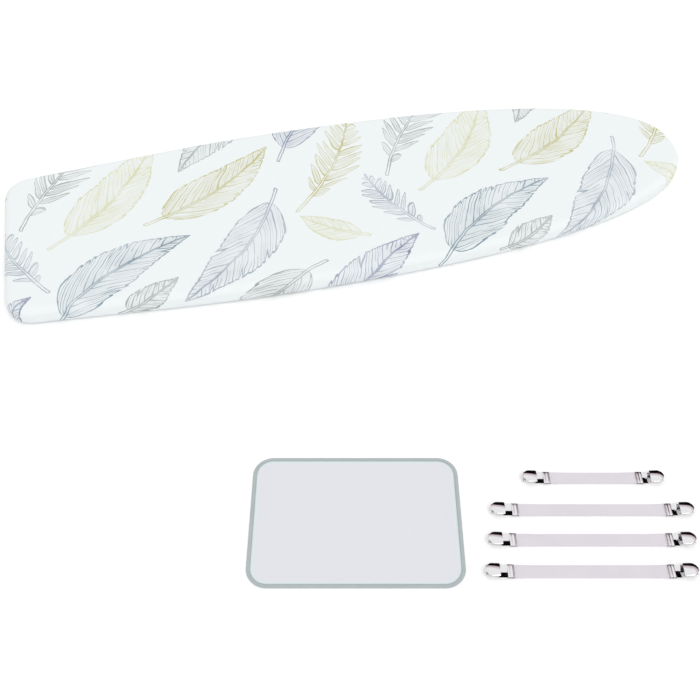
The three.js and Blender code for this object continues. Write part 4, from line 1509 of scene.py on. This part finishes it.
# Clip levers: a bullet-shaped plate, crowned across, with two cheeks on the pin and a cam edge
# that presses the cloth on the grip. Stamped and nickel plated, like the bases.
pin_x = 0.0344
lever_back_x = 0.0185
lever_nose_x = 0.0294
lever_nose_power = 1.6
lever_tip_x = 0.0374
lever_tip_share = 0.96
lever_half = 0.009
lever_crown = 0.00165
lever_back_fall = 0.0008
lever_tip_fall = 0.0006
lever_fall_x = 0.031
lever_fall_power = 2
lever_back_corner = 0.0011
lever_corner_share = 0.16
lever_straight_share = 0.34
lever_softness = 0.00022
_, lever_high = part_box("short_strap_right_lever")
lever_top_z = lever_high.z - floor_z
pin_low, pin_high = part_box("short_strap_right_pin")
pin_z = (pin_low.z + pin_high.z) / 2 - floor_z
lever_columns = 44
lever_rows = 28


def lever_half_at(x):
    """Half the plate's width: round corners at the free end, and a blunt point at the nose."""
    if x < lever_back_x + lever_back_corner:
        share = (lever_back_x + lever_back_corner - x) / lever_back_corner
        return lever_half - lever_back_corner * (1 - math.sqrt(max(0.0, 1 - share * share)))
    if x < lever_nose_x:
        return lever_half
    nose = (lever_tip_x - lever_nose_x) / lever_tip_share
    left = 1 - ((x - lever_nose_x) / nose) ** lever_nose_power
    return lever_half * max(0.0, left) ** (1 / lever_nose_power)


def lever_top(x, y):
    """Height of the plate's upper face."""
    crown = lever_crown * (y / lever_half) ** 2
    if x > lever_fall_x:
        front = (x - lever_fall_x) / (lever_tip_x - lever_fall_x)
        return lever_top_z - crown - lever_tip_fall * front ** 2
    back = (lever_fall_x - x) / (lever_fall_x - lever_back_x)
    return lever_top_z - crown - lever_back_fall * back ** lever_fall_power


bpy.ops.object.select_all(action="DESELECT")
bpy.ops.mesh.primitive_grid_add(x_subdivisions=lever_columns, y_subdivisions=lever_rows, size=1)
lever = bpy.context.object
for vertex in lever.data.vertices:
    share = vertex.co.x + 0.5
    if share < lever_corner_share:
        turn = share / lever_corner_share * math.pi / 2
        x = lever_back_x + lever_back_corner * (1 - math.cos(turn))
    elif share < 0.5:
        x = lever_back_x + lever_back_corner
        x += (lever_nose_x - x) * (share - lever_corner_share) / lever_straight_share
    else:
        turn = (share - 0.5) / 0.5 * math.asin(lever_tip_share ** (lever_nose_power / 2))
        nose_share = math.sin(turn) ** (2 / lever_nose_power)
        x = lever_nose_x + (lever_tip_x - lever_nose_x) / lever_tip_share * nose_share
    y = 2 * vertex.co.y * lever_half_at(x)
    vertex.co = (x, y, lever_top(x, y))
bpy.ops.object.shade_smooth()
add_wall(lever, plate_wall)
soften_edges(lever, lever_softness, 3, 50)

cheek_half = 0.0048
cheek_radius = 0.0019
cheek_back = 0.0022
cheek_front = 0.0010
cam_reach = 0.0025
cam_back = 0.0010
cam_front = 0.0009
cam_low_z = pin_z - cam_reach
cam_pin_gap = 0.0003
cam_edge_radius = 0.0003
cam_pick_margin = 0.0001
pin_hole_radius = 0.0011
cheek_top_z = lever_top(pin_x, cheek_half) - plate_wall / 2
for sign in (-1, 1):
    low_y, high_y = sorted((sign * cheek_half, sign * (cheek_half - plate_wall)))
    cheek = block((pin_x - cheek_back, low_y, pin_z), (pin_x + cheek_front, high_y, cheek_top_z))
    join_by_boolean(cheek, rod(cheek_radius, low_y, high_y, pin_x, pin_z), "UNION")
    join_by_boolean(lever, cheek, "UNION")
cam_top_z = pin_z - pin_hole_radius - cam_pin_gap
cam = block((pin_x - cam_back, -cheek_half, cam_low_z), (pin_x + cam_front, cheek_half, cam_top_z))
choose(
    cam,
    "EDGE",
    lambda middle, along: abs(along.y) > 0.9 and middle.z < cam_low_z + cam_pick_margin,
)
bpy.ops.mesh.bevel(offset=cam_edge_radius, segments=3)
bpy.ops.object.mode_set(mode="OBJECT")
join_by_boolean(lever, cam, "UNION")
pin_hole = rod(pin_hole_radius, -2 * cheek_half, 2 * cheek_half, pin_x, pin_z)
join_by_boolean(lever, pin_hole, "DIFFERENCE")
bpy.ops.object.shade_smooth_by_angle(angle=math.radians(32))
fit_clips(lever, "lever", plated_steel, "plated_steel")


# Clip pins: steel pins through the ears and the cheeks, their ends headed over.
pin_radius = 0.0008
pin_head_radius = 0.0014
pin_head_thickness = 0.0005
pin_head_edge = 0.0003
ear_outer = 0.0059
pin_gap = 0.0003
pin_reach = ear_outer + pin_gap
pin = rod(pin_radius, -pin_reach, pin_reach, pin_x, pin_z, 28)
for sign in (-1, 1):
    choose(pin, "FACE", lambda centre, normal: normal.y * sign > 0.9)
    bpy.ops.mesh.extrude_region_move(TRANSFORM_OT_translate={"value": (0, 0, 0)})
    spread = pin_head_radius / pin_radius
    bpy.ops.transform.resize(value=(spread, 1, spread), center_override=(pin_x, 0, pin_z))
    rise = sign * pin_head_thickness
    bpy.ops.mesh.extrude_region_move(TRANSFORM_OT_translate={"value": (0, rise, 0)})
    bpy.ops.mesh.bevel(offset=pin_head_edge, segments=3)
bpy.ops.mesh.select_all(action="SELECT")
bpy.ops.mesh.normals_make_consistent(inside=False)
bpy.ops.object.mode_set(mode="OBJECT")
bpy.ops.object.shade_smooth_by_angle(angle=math.radians(40))
fit_clips(pin, "pin", plated_steel, "plated_steel")


# Clip grips: small moulded pads, snapped into the trays, with cross ridges that hold the cloth.
grip_low, grip_high = 0.031, 0.036
grip_half = 0.0048
grip_base_z = 0.0011
grip_top_z = 0.0017
grip_ridges = 5
ridge_inset = 0.00004
ridge_depth = 0.0002
grip_softness = 0.00005
grip = block((grip_low, -grip_half, grip_base_z), (grip_high, grip_half, grip_top_z))
bpy.ops.object.mode_set(mode="EDIT")
ridge_step = (grip_high - grip_low) / (2 * grip_ridges + 1)
for number in range(1, 2 * grip_ridges + 1):
    bpy.ops.mesh.select_all(action="SELECT")
    bpy.ops.mesh.bisect(plane_co=(grip_low + number * ridge_step, 0, 0), plane_no=(1, 0, 0))
choose(
    grip,
    "FACE",
    lambda centre, normal: normal.z > 0.9 and int((centre.x - grip_low) / ridge_step) % 2 == 1,
)
bpy.ops.mesh.inset(thickness=ridge_inset, depth=-ridge_depth)
bpy.ops.object.mode_set(mode="OBJECT")
soften_edges(grip, grip_softness)
grip_plastic, nodes, shader = new_material("moulded grip", 0.5)
grip_place = nodes.nodes.new("ShaderNodeTexCoord").outputs["Object"]
moulding, _ = mottle(nodes, grip_place, 1200.0, 3.0)
grip_colour = tinted(nodes, moulding, screen_colour(228, 228, 225), screen_colour(240, 240, 238))
nodes.links.new(grip_colour, shader.inputs["Base Color"])
give_bump(nodes, shader, moulding, 0.00005, 0.4)
fit_clips(grip, "grip", grip_plastic, "grip_plastic")
